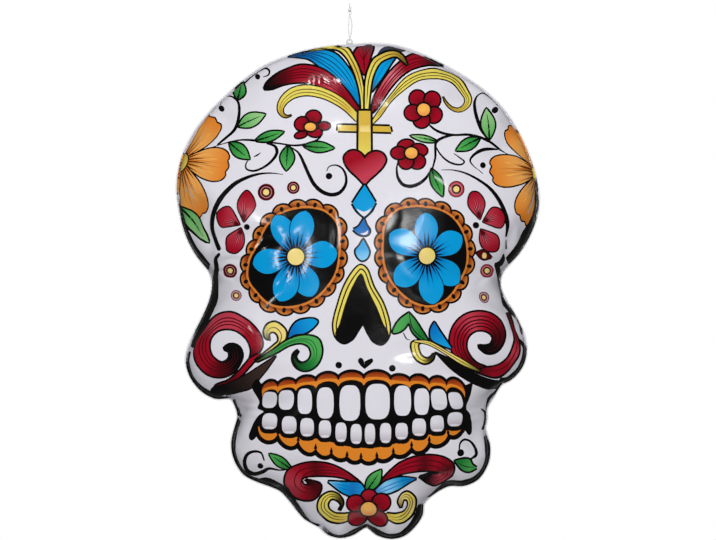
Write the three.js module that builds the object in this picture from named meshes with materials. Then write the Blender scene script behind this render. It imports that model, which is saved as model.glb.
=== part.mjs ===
// Inflatable vinyl skull that hangs on a thread.
// Two printed films are welded round their edge, and a push-in air valve sits in the back film.
// Millimetres, +Z up, the face looks along -Y, the origin is the top of the thread.
import * as THREE from 'three';

// Gaps
const SEAT_GAP = 0.1;
const RUNNING_GAP = 0.3;

// Skull films
const SKULL_WIDTH = 409;
const SKULL_HEIGHT = 559;
const CROWN = 85;
const FILM = 0.3;
const FLANGE_WIDTH = 3;

// Thread
const THREAD_DIAMETER = 1;
const EYE_LENGTH = 6.5;
const EYE_WIDTH = 3.4;
const KNOT_WIDTH = 3.6;
const KNOT_HEIGHT = 4;

// Hang tab, left of the skull's middle
const TAB_OFFSET = -9;
const TAB_WIDTH = 8;
const TAB_THICKNESS = 0.3;
const TAB_BAR = 1.2;
const TAB_HOLE_PLAY = 2.4;
const TAB_HOLE_LIFT = 0.6;

// Air valve in the middle of the back film
const VALVE_X = 0;
const VALVE_Z = 0;
const BORE_DIAMETER = 6.4;
const STEM_WALL = 1.8;
const STEM_LENGTH = 13;
const STEM_SINK = 0.7;
const RIM_WIDTH = 0.8;
const RIM_HEIGHT = 1.3;
const PLUG_HEAD_HEIGHT = 1.6;
const PLUG_DEPTH = 7;
const PLUG_TAPER = 0.5;
const STRAP_WIDTH = 3;
const STRAP_THICKNESS = 0.7;
const FINGER_ROOM = 1.6;
const COLLAR_WALL = 0.6;
const COLLAR_FOOT = 1;
const RING_WIDTH = 6;
const RING_THICKNESS = 0.8;
const PAD_MARGIN = 2;
const PAD_BLEND = 40;
const FLAP_OVERLAP = 1.2;
const FLAP_THICKNESS = 0.5;

// Route of the thread loop from the knot through the tab and back: x, y and height above its bend
const LOOP_ROUTE = [
  [0, -0.9, 32], [-0.2, -1.1, 29], [-0.6, -1.5, 25], [-0.9, -1.8, 20], [-1, -2, 14],
  [-0.7, -2.1, 8], [-0.2, -2.1, 4], [0, -2.1, 2.1], [0, -1.48, 0.62], [0, 0, 0],
  [0, 1.48, 0.62], [0, 2.1, 2.1], [0.6, 2.1, 4], [1.7, 2.1, 8], [2.6, 2, 14],
  [2.5, 1.8, 20], [1.6, 1.5, 25], [0.6, 1.1, 29], [0, 0.9, 32],
];

// Weld line round the skull, seen from the front, x and z from the skull's middle
const WELD_POINTS = [
  // Cranium, right half
  [-6, 279], [42, 278], [94, 258], [147, 224], [175, 192], [198, 142], [205, 106], [201, 79], [185, 47],
  // Right temple, cheek and jaw
  [171, 31], [164, 22], [161, 12], [163, -1], [175, -22], [187, -46], [191, -67], [186, -86], [173, -100],
  [163, -105], [154, -119], [146, -133], [146, -145], [144, -156], [149, -174], [148, -193], [136, -213],
  [119, -220], [104, -220],
  // Chin
  [84, -231], [74, -242], [73, -253], [64, -267], [52, -277], [37, -280], [21, -275], [10, -267],
  [-4, -275], [-19, -279], [-34, -275], [-43, -267], [-59, -258], [-72, -243], [-87, -226],
  // Left jaw, cheek and temple
  [-109, -217], [-129, -207], [-140, -188], [-142, -171], [-138, -154], [-135, -142], [-138, -130],
  [-144, -121], [-160, -121], [-176, -113], [-189, -97], [-194, -78], [-190, -60], [-179, -37],
  [-169, -16], [-164, 3], [-165, 16], [-169, 25],
  // Cranium, left half
  [-181, 40], [-193, 62], [-201, 91], [-204, 120], [-198, 153], [-179, 188], [-148, 222], [-107, 254],
  [-55, 273],
];

// Fineness of the mesh
const STEPS_PER_WELD_POINT = 2;
const DOME_RINGS = 8;
const EDGE_CROWDING = 1.7;
const TURNED_SIDES = 24;
const THREAD_SIDES = 8;
const THREAD_STEPS = 60;
const EYE_STEPS = 24;

// Sizes that follow from the ones above
const SEAM_GAP = TAB_THICKNESS + 2 * SEAT_GAP;
const THREAD_RADIUS = THREAD_DIAMETER / 2;
const TAB_HOLE_RADIUS = (THREAD_DIAMETER + TAB_HOLE_PLAY) / 2;
const BORE_RADIUS = BORE_DIAMETER / 2;
const STEM_RADIUS = BORE_RADIUS + STEM_WALL;
const RIM_RADIUS = STEM_RADIUS + RIM_WIDTH;
const STRAP_REACH = RIM_RADIUS + 2 * RUNNING_GAP + STRAP_THICKNESS;
const COLLAR_RADIUS = STRAP_REACH + FINGER_ROOM;
const HOLE_RADIUS = COLLAR_RADIUS + RUNNING_GAP;
const PAD_RADIUS = HOLE_RADIUS + RING_WIDTH + PAD_MARGIN;

// Weld line as a smooth closed curve, stretched to the skull's width and height
function weldLine() {
  const drawn = new THREE.Box2().setFromPoints(WELD_POINTS.map(([x, z]) => new THREE.Vector2(x, z)));
  const size = drawn.getSize(new THREE.Vector2());
  const widen = SKULL_WIDTH / size.x;
  const heighten = SKULL_HEIGHT / size.y;
  const corners = WELD_POINTS.map(([x, z]) => new THREE.Vector3(x * widen, z * heighten, 0));
  const curve = new THREE.CatmullRomCurve3(corners, true, 'centripetal');
  const points = curve.getPoints(corners.length * STEPS_PER_WELD_POINT).slice(0, -1);
  return points.map((point) => new THREE.Vector2(point.x, point.y));
}

const weld = weldLine();
const valveCentre = new THREE.Vector2(VALVE_X, VALVE_Z);

// Height of the weld line's upper edge above the skull's middle at a given x
function weldTopAt(x) {
  let top = -Infinity;
  weld.forEach((start, index) => {
    const end = weld[(index + 1) % weld.length];
    const along = (x - start.x) / (end.x - start.x);
    if (along >= 0 && along <= 1) {
      top = Math.max(top, start.y + (end.y - start.y) * along);
    }
  });
  return top;
}

// Mean distance from a point to the weld line, weighted by angle, which is nought on the weld line
function meanReach(point) {
  let sum = 0;
  weld.forEach((corner, index) => {
    const from = corner.clone().sub(point);
    const to = weld[(index + 1) % weld.length].clone().sub(point);
    const tanHalfAngle = from.cross(to) / (from.length() * to.length() + from.dot(to));
    sum += tanHalfAngle * (1 / from.length() + 1 / to.length());
  });
  return 1 / Math.abs(sum);
}

// Points on rays from the valve's centre, from a start radius out to the weld line
function rayRing(startRadius, share) {
  return weld.map((corner) => {
    const ray = corner.clone().sub(valveCentre);
    const edgeRadius = ray.length();
    const radius = startRadius + (edgeRadius - startRadius) * share;
    return ray.multiplyScalar(radius / edgeRadius).add(valveCentre);
  });
}

function ringShare(ring) {
  return 1 - (1 - ring / DOME_RINGS) ** EDGE_CROWDING;
}

const middleRings = Array.from({ length: DOME_RINGS - 1 }, (_, ring) => rayRing(0, ringShare(ring + 1)));
const deepestReach = Math.max(...middleRings.flat().map(meanReach));

// Rise of the blown-up film above its flange: upright at the weld, flat at the crown
function filmRise(point) {
  return CROWN * Math.sqrt(Math.min(1, meanReach(point) / deepestReach));
}

const padRise = filmRise(valveCentre);

// Rise of the back film, which is flat on the pad round the valve
function paddedRise(point) {
  const beyondPad = (point.distanceTo(valveCentre) - PAD_RADIUS) / PAD_BLEND;
  return THREE.MathUtils.lerp(padRise, filmRise(point), THREE.MathUtils.smoothstep(beyondPad, 0, 1));
}

// Outer edge of the flange, square to the weld line
function flangeEdge() {
  return weld.map((corner, index) => {
    const before = weld[(index + weld.length - 1) % weld.length];
    const after = weld[(index + 1) % weld.length];
    const along = after.clone().sub(before).normalize();
    return new THREE.Vector2(-along.y, along.x).multiplyScalar(FLANGE_WIDTH).add(corner);
  });
}

// Faces of one side of a film between rings of equal length
function stripFaces(ringCount, ringLength, firstIndex) {
  const faces = [];
  for (let ring = 0; ring < ringCount - 1; ring += 1) {
    for (let step = 0; step < ringLength; step += 1) {
      const a = firstIndex + ring * ringLength + step;
      const b = firstIndex + ring * ringLength + ((step + 1) % ringLength);
      faces.push([a, b, b + ringLength], [a, b + ringLength, a + ringLength]);
    }
  }
  return faces;
}

// Signed volume inside a closed mesh, negative where its faces point inwards
function signedVolume(geometry) {
  const position = geometry.getAttribute('position');
  const corners = [0, 1, 2].map(() => new THREE.Vector3());
  const order = geometry.index ? geometry.index.array : [...position.array.keys()].slice(0, position.count);
  let volume = 0;
  for (let face = 0; face < order.length; face += 3) {
    corners.forEach((corner, side) => corner.fromBufferAttribute(position, order[face + side]));
    volume += corners[0].dot(corners[1].clone().cross(corners[2])) / 6;
  }
  return volume;
}

// Turns a closed mesh so that its faces point outwards
function facingOut(geometry) {
  if (signedVolume(geometry) < 0) {
    geometry.setIndex([...geometry.index.array].reverse());
  }
  return geometry;
}

// One film: outer and inner face, flange edge, and the rim of the hole where it has one
function filmPanel(side, rise, holeRadius) {
  const hasHole = holeRadius > 0;
  const rings = [];
  if (hasHole) {
    rings.push({ points: rayRing(holeRadius, 0), rise });
  }
  for (let ring = hasHole ? 0 : 1; ring < DOME_RINGS; ring += 1) {
    rings.push({ points: rayRing(hasHole ? PAD_RADIUS : 0, ringShare(ring)), rise });
  }
  rings.push({ points: weld, rise: () => 0 });
  rings.push({ points: flangeEdge(), rise: () => 0 });

  const flangeFace = SEAM_GAP / 2 + FILM;
  const outer = rings.flatMap((ring) => ring.points.map(
    (point) => new THREE.Vector3(point.x, side * (flangeFace + ring.rise(point)), point.y),
  ));
  const faces = stripFaces(rings.length, weld.length, 0);
  if (!hasHole) {
    const pole = outer.length;
    outer.push(new THREE.Vector3(valveCentre.x, side * (flangeFace + rise(valveCentre)), valveCentre.y));
    weld.forEach((_, step) => faces.push([pole, (step + 1) % weld.length, step]));
  }

  const normals = outer.map(() => new THREE.Vector3());
  faces.forEach(([a, b, c]) => {
    const edge = outer[b].clone().sub(outer[a]);
    const normal = edge.cross(outer[c].clone().sub(outer[a]));
    normal.multiplyScalar(Math.sign(normal.y) * side);
    [a, b, c].forEach((corner) => normals[corner].add(normal));
  });
  const lastRing = (rings.length - 1) * weld.length;
  weld.forEach((_, step) => normals[lastRing + step].set(0, side, 0));
  const inner = outer.map((point, index) => point.clone().addScaledVector(normals[index].normalize(), -FILM));

  const count = outer.length;
  const innerFaces = faces.map(([a, b, c]) => [c + count, b + count, a + count]);
  const walls = [];
  weld.forEach((_, step) => {
    const next = (step + 1) % weld.length;
    const a = lastRing + step;
    const b = lastRing + next;
    walls.push([a, b, b + count], [a, b + count, a + count]);
    if (hasHole) {
      walls.push([next, step, step + count], [next, step + count, next + count]);
    }
  });
  const geometry = new THREE.BufferGeometry().setFromPoints([...outer, ...inner]);
  geometry.setIndex([...faces, ...innerFaces, ...walls].flat());
  return facingOut(geometry);
}

// Tab of clear film with an arched top, its foot welded between the two flanges
function hangTab(holeHeight) {
  const half = TAB_WIDTH / 2;
  const archHeight = holeHeight + TAB_HOLE_RADIUS + TAB_BAR - half;
  const shape = new THREE.Shape();
  shape.moveTo(-half, SEAT_GAP);
  shape.lineTo(half, SEAT_GAP);
  shape.lineTo(half, archHeight);
  shape.absarc(0, archHeight, half, 0, Math.PI, false);
  shape.closePath();
  shape.holes.push(new THREE.Path().absarc(0, holeHeight, TAB_HOLE_RADIUS, 0, 2 * Math.PI, true));
  const tab = new THREE.ExtrudeGeometry(shape, { depth: TAB_THICKNESS, bevelEnabled: false });
  return tab.rotateX(Math.PI / 2).translate(0, TAB_THICKNESS / 2, 0);
}

// Thread along a route of points
function thread(points, steps) {
  const route = new THREE.CatmullRomCurve3(points);
  const corners = Array.from({ length: THREAD_SIDES }, (_, side) => {
    const angle = (2 * Math.PI * side) / THREAD_SIDES;
    return new THREE.Vector2(THREAD_RADIUS * Math.cos(angle), THREAD_RADIUS * Math.sin(angle));
  });
  const section = new THREE.Shape(corners);
  return new THREE.ExtrudeGeometry(section, { extrudePath: route, steps, bevelEnabled: false });
}

// Eye of thread above the knot, seen edge-on from the front
function hangEye() {
  const half = EYE_WIDTH / 2;
  const top = -THREAD_RADIUS;
  return thread([
    new THREE.Vector3(0, -half / 2, -EYE_LENGTH),
    new THREE.Vector3(0, -half, (top - EYE_LENGTH) / 2),
    new THREE.Vector3(0, -half / 2, top - half / 4),
    new THREE.Vector3(0, 0, top),
    new THREE.Vector3(0, half / 2, top - half / 4),
    new THREE.Vector3(0, half, (top - EYE_LENGTH) / 2),
    new THREE.Vector3(0, half / 2, -EYE_LENGTH),
  ], EYE_STEPS);
}

// Piece turned about the Y axis from a profile of radius and distance along the axis
function turned(profile) {
  const points = profile.map(([radius, along]) => new THREE.Vector2(radius, along));
  return facingOut(new THREE.LatheGeometry(points, TURNED_SIDES));
}

function closedProfile(points) {
  return [...points, points[0]];
}

// Knot as a rounded bead, its profile from the lower to the upper pole
function cordKnot() {
  const sides = TURNED_SIDES / 4;
  const profile = Array.from({ length: sides + 1 }, (_, step) => {
    const angle = (Math.PI * step) / sides - Math.PI / 2;
    return [(KNOT_WIDTH / 2) * Math.cos(angle), (KNOT_HEIGHT / 2) * Math.sin(angle)];
  });
  profile[0][0] = 0;
  profile[sides][0] = 0;
  return turned(profile).rotateX(Math.PI / 2);
}

// Valve pieces, with the outer face of the pad at nought and +Y out of the skull
const ringTop = -FILM - SEAT_GAP;
const stemTop = -STEM_SINK;
const stemBase = stemTop - STEM_LENGTH;
const plugHeadBase = stemTop + RUNNING_GAP;

function valveFlange() {
  return turned(closedProfile([
    [HOLE_RADIUS, ringTop - RING_THICKNESS],
    [HOLE_RADIUS + RING_WIDTH, ringTop - RING_THICKNESS],
    [HOLE_RADIUS + RING_WIDTH, ringTop],
    [HOLE_RADIUS, ringTop],
  ]));
}

function valveCollar() {
  const footRadius = STEM_RADIUS + RUNNING_GAP;
  return turned(closedProfile([
    [footRadius, stemBase + COLLAR_FOOT],
    [footRadius + COLLAR_WALL, stemBase + COLLAR_FOOT],
    [COLLAR_RADIUS, ringTop],
    [COLLAR_RADIUS - COLLAR_WALL, ringTop],
  ]));
}

function valveStem() {
  return turned(closedProfile([
    [BORE_RADIUS, stemBase],
    [STEM_RADIUS, stemBase],
    [STEM_RADIUS, stemTop - RIM_HEIGHT],
    [RIM_RADIUS, stemTop - RIM_HEIGHT],
    [RIM_RADIUS, stemTop],
    [BORE_RADIUS, stemTop],
  ]));
}

function valvePlug() {
  const shankRadius = BORE_RADIUS - RUNNING_GAP;
  return turned([
    [0, stemTop - PLUG_DEPTH],
    [shankRadius - PLUG_TAPER, stemTop - PLUG_DEPTH],
    [shankRadius, plugHeadBase],
    [RIM_RADIUS, plugHeadBase],
    [RIM_RADIUS, plugHeadBase + PLUG_HEAD_HEIGHT],
    [0, plugHeadBase + PLUG_HEAD_HEIGHT],
  ]);
}

function valveFlap() {
  const flapTop = stemBase - RUNNING_GAP;
  const radius = BORE_RADIUS + FLAP_OVERLAP;
  return turned([
    [0, flapTop - FLAP_THICKNESS],
    [radius, flapTop - FLAP_THICKNESS],
    [radius, flapTop],
    [0, flapTop],
  ]);
}

// Strap bent like a C: out from the stem under its rim, along the rim and in to the stopper's head
function valveStrap() {
  const stemSide = STEM_RADIUS + RUNNING_GAP;
  const headSide = RIM_RADIUS + RUNNING_GAP;
  const outside = STRAP_REACH;
  const inside = outside - STRAP_THICKNESS;
  const armTop = stemTop - RIM_HEIGHT - RUNNING_GAP;
  const headTop = plugHeadBase + PLUG_HEAD_HEIGHT;
  const shape = new THREE.Shape([
    new THREE.Vector2(stemSide, armTop - STRAP_THICKNESS),
    new THREE.Vector2(outside, armTop - STRAP_THICKNESS),
    new THREE.Vector2(outside, headTop),
    new THREE.Vector2(headSide, headTop),
    new THREE.Vector2(headSide, headTop - STRAP_THICKNESS),
    new THREE.Vector2(inside, headTop - STRAP_THICKNESS),
    new THREE.Vector2(inside, armTop),
    new THREE.Vector2(stemSide, armTop),
  ]);
  const strap = new THREE.ExtrudeGeometry(shape, { depth: STRAP_WIDTH, bevelEnabled: false });
  return strap.translate(0, 0, -STRAP_WIDTH / 2);
}

// One named piece with its own material
function piece(name, geometry, color, roughness) {
  const material = new THREE.MeshStandardMaterial({ color, roughness, metalness: 0 });
  const mesh = new THREE.Mesh(geometry, material);
  mesh.name = name;
  return mesh;
}

// Heights down the thread, from its top at the origin
const knotTop = -EYE_LENGTH - RUNNING_GAP;
const loopTop = knotTop - KNOT_HEIGHT - RUNNING_GAP;
const loopLength = LOOP_ROUTE[0][2];
const bendHeight = loopTop - loopLength;
const tabHoleHeight = bendHeight + THREAD_RADIUS + RUNNING_GAP - TAB_HOLE_RADIUS;
const tabHoleRise = FLANGE_WIDTH + TAB_HOLE_LIFT + TAB_HOLE_RADIUS;
const tabFoot = tabHoleHeight - tabHoleRise;

const hanger = new THREE.Group();
hanger.add(piece('hang_eye', hangEye(), '#eef0f2', 0.25));
const knot = piece('cord_knot', cordKnot(), '#e6e8ea', 0.3);
knot.position.z = knotTop - KNOT_HEIGHT / 2;
hanger.add(knot);
const loop = piece('hang_loop', thread(
  LOOP_ROUTE.map(([x, y, rise]) => new THREE.Vector3(x, y, rise)),
  THREAD_STEPS,
), '#eef0f2', 0.25);
loop.position.z = bendHeight;
hanger.add(loop);
const tab = piece('hang_tab', hangTab(tabHoleRise), '#dfe4e6', 0.15);
tab.position.z = tabFoot;
hanger.add(tab);

const valve = new THREE.Group();
valve.add(piece('valve_flange', valveFlange(), '#e9eaec', 0.35));
valve.add(piece('valve_collar', valveCollar(), '#e4e6e8', 0.35));
valve.add(piece('valve_stem', valveStem(), '#e9eaec', 0.35));
valve.add(piece('valve_flap', valveFlap(), '#dcdee0', 0.3));
valve.add(piece('valve_plug', valvePlug(), '#e9eaec', 0.35));
valve.add(piece('valve_strap', valveStrap(), '#e4e6e8', 0.35));
valve.position.set(VALVE_X, SEAM_GAP / 2 + FILM + padRise, VALVE_Z);

const skull = new THREE.Group();
skull.add(piece('front_panel', filmPanel(-1, filmRise, 0), '#e4e2ea', 0.2));
skull.add(piece('back_panel', filmPanel(1, paddedRise, HOLE_RADIUS), '#e4e2ea', 0.2));
skull.add(valve);
skull.position.set(-TAB_OFFSET, 0, tabFoot - weldTopAt(TAB_OFFSET));

const group = new THREE.Group();
group.add(hanger, skull);

export default group;
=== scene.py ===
# Inflatable sugar skull that hangs on a thread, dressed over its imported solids.
# Metres, +Z up, the face looks along -Y. The films and their print are worked out in millimetres.
import math

import bmesh
import bpy
import numpy as np
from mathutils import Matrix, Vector, kdtree
from mathutils.geometry import delaunay_2d_cdt


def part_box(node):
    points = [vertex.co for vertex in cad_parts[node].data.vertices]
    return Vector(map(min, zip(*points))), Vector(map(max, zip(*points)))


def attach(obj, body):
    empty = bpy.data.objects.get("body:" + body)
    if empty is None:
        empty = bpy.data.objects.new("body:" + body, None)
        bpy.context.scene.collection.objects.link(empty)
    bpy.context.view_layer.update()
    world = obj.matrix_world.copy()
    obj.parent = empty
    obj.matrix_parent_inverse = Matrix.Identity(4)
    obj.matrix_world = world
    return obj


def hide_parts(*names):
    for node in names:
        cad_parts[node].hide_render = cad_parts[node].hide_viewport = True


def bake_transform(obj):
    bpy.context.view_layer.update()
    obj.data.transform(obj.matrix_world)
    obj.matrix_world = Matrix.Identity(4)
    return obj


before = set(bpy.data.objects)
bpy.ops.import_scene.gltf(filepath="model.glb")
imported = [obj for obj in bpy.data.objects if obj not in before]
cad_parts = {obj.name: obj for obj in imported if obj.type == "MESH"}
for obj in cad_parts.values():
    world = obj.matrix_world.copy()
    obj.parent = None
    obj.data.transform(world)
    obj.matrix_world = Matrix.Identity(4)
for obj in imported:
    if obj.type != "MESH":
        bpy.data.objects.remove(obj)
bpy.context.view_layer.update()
scene = bpy.context.scene
scene.view_settings.view_transform = "Standard"
bpy.ops.object.select_all(action="DESELECT")

# Camera
# It stands far off and square to the face, so that the weld line is the outline of the picture.
# The valve sits behind the skull's middle, which gives the point that the picture is placed by.
MM = 0.001
PICTURE_PIXELS = (716, 540)
MIDDLE_PIXEL = (357.5, 291.25)
PIXEL_SIZE = 1.137 * MM
CAMERA_DISTANCE = 6.0
CAMERA_REACH = 100
valve_low, valve_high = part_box("valve_flange")
middle = (valve_low + valve_high) / 2
bpy.ops.object.camera_add(
    location=(
        middle.x + (PICTURE_PIXELS[0] / 2 - MIDDLE_PIXEL[0]) * PIXEL_SIZE,
        -CAMERA_DISTANCE,
        middle.z + (MIDDLE_PIXEL[1] - PICTURE_PIXELS[1] / 2) * PIXEL_SIZE,
    ),
    rotation=(math.pi / 2, 0, 0),
)
camera = bpy.context.object
camera.data.lens = camera.data.sensor_width * CAMERA_DISTANCE / (PICTURE_PIXELS[0] * PIXEL_SIZE)
camera.data.clip_end = CAMERA_REACH
scene.camera = camera

# Hanging thread
# One length of clear nylon thread, 1 mm thick, runs through the tab's hole and is knotted to itself.
# It is drawn nylon: clear, a little milky, with a smooth round section.
THREAD_DIAMETER = 1.0 * MM
THREAD_ROUNDNESS = 4
THREAD_STEPS = 8
BEND_HEIGHT = -43.1
LOOP_ROUTE = [
    (0, -0.9, 32), (-0.2, -1.1, 29), (-0.6, -1.5, 25), (-0.9, -1.8, 20), (-1, -2, 14),
    (-0.7, -2.1, 8), (-0.2, -2.1, 4), (0, -2.1, 2.1), (0, -1.48, 0.62), (0, 0, 0),
    (0, 1.48, 0.62), (0, 2.1, 2.1), (0.6, 2.1, 4), (1.7, 2.1, 8), (2.6, 2, 14),
    (2.5, 1.8, 20), (1.6, 1.5, 25), (0.6, 1.1, 29), (0, 0.9, 32),
]
RIPPLE_DETAIL = 3
GRAIN_DETAIL = 2
GRAIN_SHARE = 0.06
RIPPLE_RANGE = (0.3, 0.7)


def ripple_group():
    """Slow ripples and fine grain of soft plastic, as a height and a roughness."""
    group = bpy.data.node_groups.new("soft_ripple", "ShaderNodeTree")
    for name in ("Ripple Scale", "Grain Scale", "Smooth", "Dull"):
        group.interface.new_socket(name, in_out="INPUT", socket_type="NodeSocketFloat")
    for name in ("Height", "Roughness"):
        group.interface.new_socket(name, in_out="OUTPUT", socket_type="NodeSocketFloat")
    nodes, links = group.nodes, group.links
    entry = nodes.new("NodeGroupInput")
    leave = nodes.new("NodeGroupOutput")
    place = nodes.new("ShaderNodeTexCoord")
    ripple = nodes.new("ShaderNodeTexNoise")
    grain = nodes.new("ShaderNodeTexNoise")
    noises = ((ripple, "Ripple Scale", RIPPLE_DETAIL), (grain, "Grain Scale", GRAIN_DETAIL))
    for noise, scale, detail in noises:
        noise.inputs["Detail"].default_value = detail
        links.new(place.outputs["Object"], noise.inputs["Vector"])
        links.new(entry.outputs[scale], noise.inputs["Scale"])
    weigh = nodes.new("ShaderNodeMath")
    weigh.operation = "MULTIPLY_ADD"
    weigh.inputs[1].default_value = GRAIN_SHARE
    links.new(grain.outputs["Fac"], weigh.inputs[0])
    links.new(ripple.outputs["Fac"], weigh.inputs[2])
    links.new(weigh.outputs[0], leave.inputs["Height"])
    spread = nodes.new("ShaderNodeMapRange")
    spread.inputs["From Min"].default_value, spread.inputs["From Max"].default_value = RIPPLE_RANGE
    links.new(ripple.outputs["Fac"], spread.inputs["Value"])
    links.new(entry.outputs["Smooth"], spread.inputs["To Min"])
    links.new(entry.outputs["Dull"], spread.inputs["To Max"])
    links.new(spread.outputs["Result"], leave.inputs["Roughness"])
    return group


soft_ripple = ripple_group()


def soft_plastic(name, ripple_scale, grain_scale, smooth, dull, depth, **sockets):
    """Material of soft plastic, rippled and grained to a depth, with the shader's plain sockets set."""
    made = bpy.data.materials.new(name)
    made.use_nodes = True
    nodes, links = made.node_tree.nodes, made.node_tree.links
    shader = nodes["Principled BSDF"]
    for socket, value in sockets.items():
        shader.inputs[socket.replace("_", " ")].default_value = value
    ripple = nodes.new("ShaderNodeGroup")
    ripple.node_tree = soft_ripple
    ripple.inputs["Ripple Scale"].default_value = ripple_scale
    ripple.inputs["Grain Scale"].default_value = grain_scale
    ripple.inputs["Smooth"].default_value = smooth
    ripple.inputs["Dull"].default_value = dull
    bump = nodes.new("ShaderNodeBump")
    bump.inputs["Strength"].default_value = 1.0
    bump.inputs["Distance"].default_value = depth
    links.new(ripple.outputs["Height"], bump.inputs["Height"])
    links.new(bump.outputs["Normal"], shader.inputs["Normal"])
    links.new(ripple.outputs["Roughness"], shader.inputs["Roughness"])
    return made


clear_nylon = soft_plastic("clear_nylon", ripple_scale=400, grain_scale=6000, smooth=0.35, dull=0.55,
                           depth=0.02 * MM, Base_Color=(0.80, 0.81, 0.82, 1), IOR=1.53)


def thread_curve(name, points):
    """Round thread along points in millimetres."""
    curve = bpy.data.curves.new(name, "CURVE")
    curve.dimensions = "3D"
    curve.bevel_depth = THREAD_DIAMETER / 2
    curve.bevel_resolution = THREAD_ROUNDNESS
    curve.resolution_u = THREAD_STEPS
    curve.use_fill_caps = True
    spline = curve.splines.new("BEZIER")
    spline.bezier_points.add(len(points) - 1)
    for knob, point in zip(spline.bezier_points, points):
        knob.co = Vector(point) * MM
        knob.handle_left_type = "AUTO"
        knob.handle_right_type = "AUTO"
    curve.materials.append(clear_nylon)
    piece = bpy.data.objects.new(name, curve)
    scene.collection.objects.link(piece)
    return piece


def select_alone(piece):
    """Makes a piece the only one that operators act on."""
    bpy.ops.object.select_all(action="DESELECT")
    piece.select_set(True)
    bpy.context.view_layer.objects.active = piece


def as_mesh(piece):
    """Turns a curve into a mesh of the same name."""
    select_alone(piece)
    bpy.ops.object.convert(target="MESH")
    return bpy.context.object


loop_points = [(x, y, BEND_HEIGHT + rise) for x, y, rise in LOOP_ROUTE]
thread_loop = thread_curve("thread_loop", loop_points)
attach(thread_loop, "loop")
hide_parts("hang_loop")

# Knot and eye of the thread
# The thread's end is wrapped three times round its own strands and drawn tight, with two short cut ends.
# Above the knot the thread makes a small eye that goes on a hook.
KNOT_TURNS = 3
KNOT_POINTS_PER_TURN = 12
KNOT_SWELL = 0.14
EYE_FOOT_LIFT = 0.4
thread_radius = THREAD_DIAMETER / MM / 2
knot_low, knot_high = (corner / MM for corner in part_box("cord_knot"))
wrap_radius = (knot_high.x - knot_low.x) / 2 - thread_radius
wrap_rise = knot_high.z - knot_low.z - 2 * thread_radius
wrap_count = KNOT_TURNS * KNOT_POINTS_PER_TURN
wrap = []
for step in range(wrap_count + 1):
    share = step / wrap_count
    angle = 2 * math.pi * KNOT_TURNS * share
    swell = wrap_radius * (1 - KNOT_SWELL + KNOT_SWELL * math.sin(math.pi * share))
    climb = knot_low.z + thread_radius + wrap_rise * share
    wrap.append((swell * math.cos(angle), swell * math.sin(angle), climb))
cut_end_low = [(2.3, -1.1, knot_low.z - 2.2), (2.0, -0.6, knot_low.z - 0.6)]
cut_end_high = [(1.2, 0.9, knot_high.z + 0.7), (1.7, 1.3, knot_high.z + 2.0)]
thread_knot = as_mesh(thread_curve("thread_knot", cut_end_low + wrap + cut_end_high))
eye_half = (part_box("hang_eye")[1] / MM).y - thread_radius
eye_top = -thread_radius
eye_strand = [
    (0.45, knot_low.z + EYE_FOOT_LIFT), (0.6, knot_high.z), (eye_half, (eye_top + knot_high.z) / 2),
    (eye_half * 0.55, eye_top - 0.45),
]
thread_eye = as_mesh(thread_curve("thread_eye", [
    *((0, -reach, height) for reach, height in eye_strand),
    (0, 0, eye_top),
    *((0, reach, height) for reach, height in reversed(eye_strand))]))
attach(thread_knot, "knot")
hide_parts("cord_knot")
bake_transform(thread_eye)
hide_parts("hang_eye")
[value * MM for value in loop_points[0]]

# Hang tab
# A small arched tab of clear vinyl film with a punched hole, its foot caught in the weld at the top.
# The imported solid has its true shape, so only its finish is made here.
clear_vinyl = soft_plastic("clear_vinyl", ripple_scale=220, grain_scale=2500, smooth=0.12, dull=0.28,
                           depth=0.05 * MM, Base_Color=(0.52, 0.53, 0.55, 1), Alpha=0.42, IOR=1.5)
hang_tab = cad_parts["hang_tab"]
hang_tab.data.materials.clear()
hang_tab.data.materials.append(clear_vinyl)

# Front film
# White soft PVC film, 0.3 mm thick, printed flat in glossy ink, then welded to the back film and blown up.
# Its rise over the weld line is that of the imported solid: upright at the weld and flat at the crown.
FILM = 0.3
WELD_STEP = 4.0
WELD_TOLERANCE = 0.01
RISEN = 1.0
DOME_RAYS = 720
DOME_STEPS = 72
POINTS_AT_ONCE = 2000
CURVE_STEP = 0.8
TINY = 1e-9
LEAST_STEP = 1e-6
full_turn = 2 * math.pi
front_low, front_high = (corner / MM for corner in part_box("front_panel"))
flange_face = FILM - front_high.y
crown = -front_low.y - flange_face
middle_mm = np.array([middle.x, middle.z]) / MM


def run_through(points, before, after, step):
    """Smooth curve from the first point to the last, without the last one itself."""
    line = np.vstack([before, points, after])
    pieces = []
    for first in range(len(line) - 3):
        a, b, c, d = line[first:first + 4]
        ab, bc, cd = (math.sqrt(max(math.dist(p, q), LEAST_STEP)) for p, q in ((a, b), (b, c), (c, d)))
        leave = bc * ((b - a) / ab - (c - a) / (ab + bc) + (c - b) / bc)
        reach = bc * ((c - b) / bc - (d - b) / (bc + cd) + (d - c) / cd)
        count = max(2, math.ceil(math.dist(b, c) / step))
        t = (np.arange(count) / count)[:, None]
        pieces.append((2 * t**3 - 3 * t**2 + 1) * b + (t**3 - 2 * t**2 + t) * leave
                      + (3 * t**2 - 2 * t**3) * c + (t**3 - t**2) * reach)
    return np.vstack(pieces)


def open_curve(points, step=CURVE_STEP):
    """Smooth curve through points, from end to end."""
    points = np.array(points, float)
    if len(points) == 2:
        points = np.array([points[0], points.mean(0), points[1]])
    bent = run_through(points, 2 * points[0] - points[1], 2 * points[-1] - points[-2], step)
    return np.vstack([bent, points[-1]])


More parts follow.
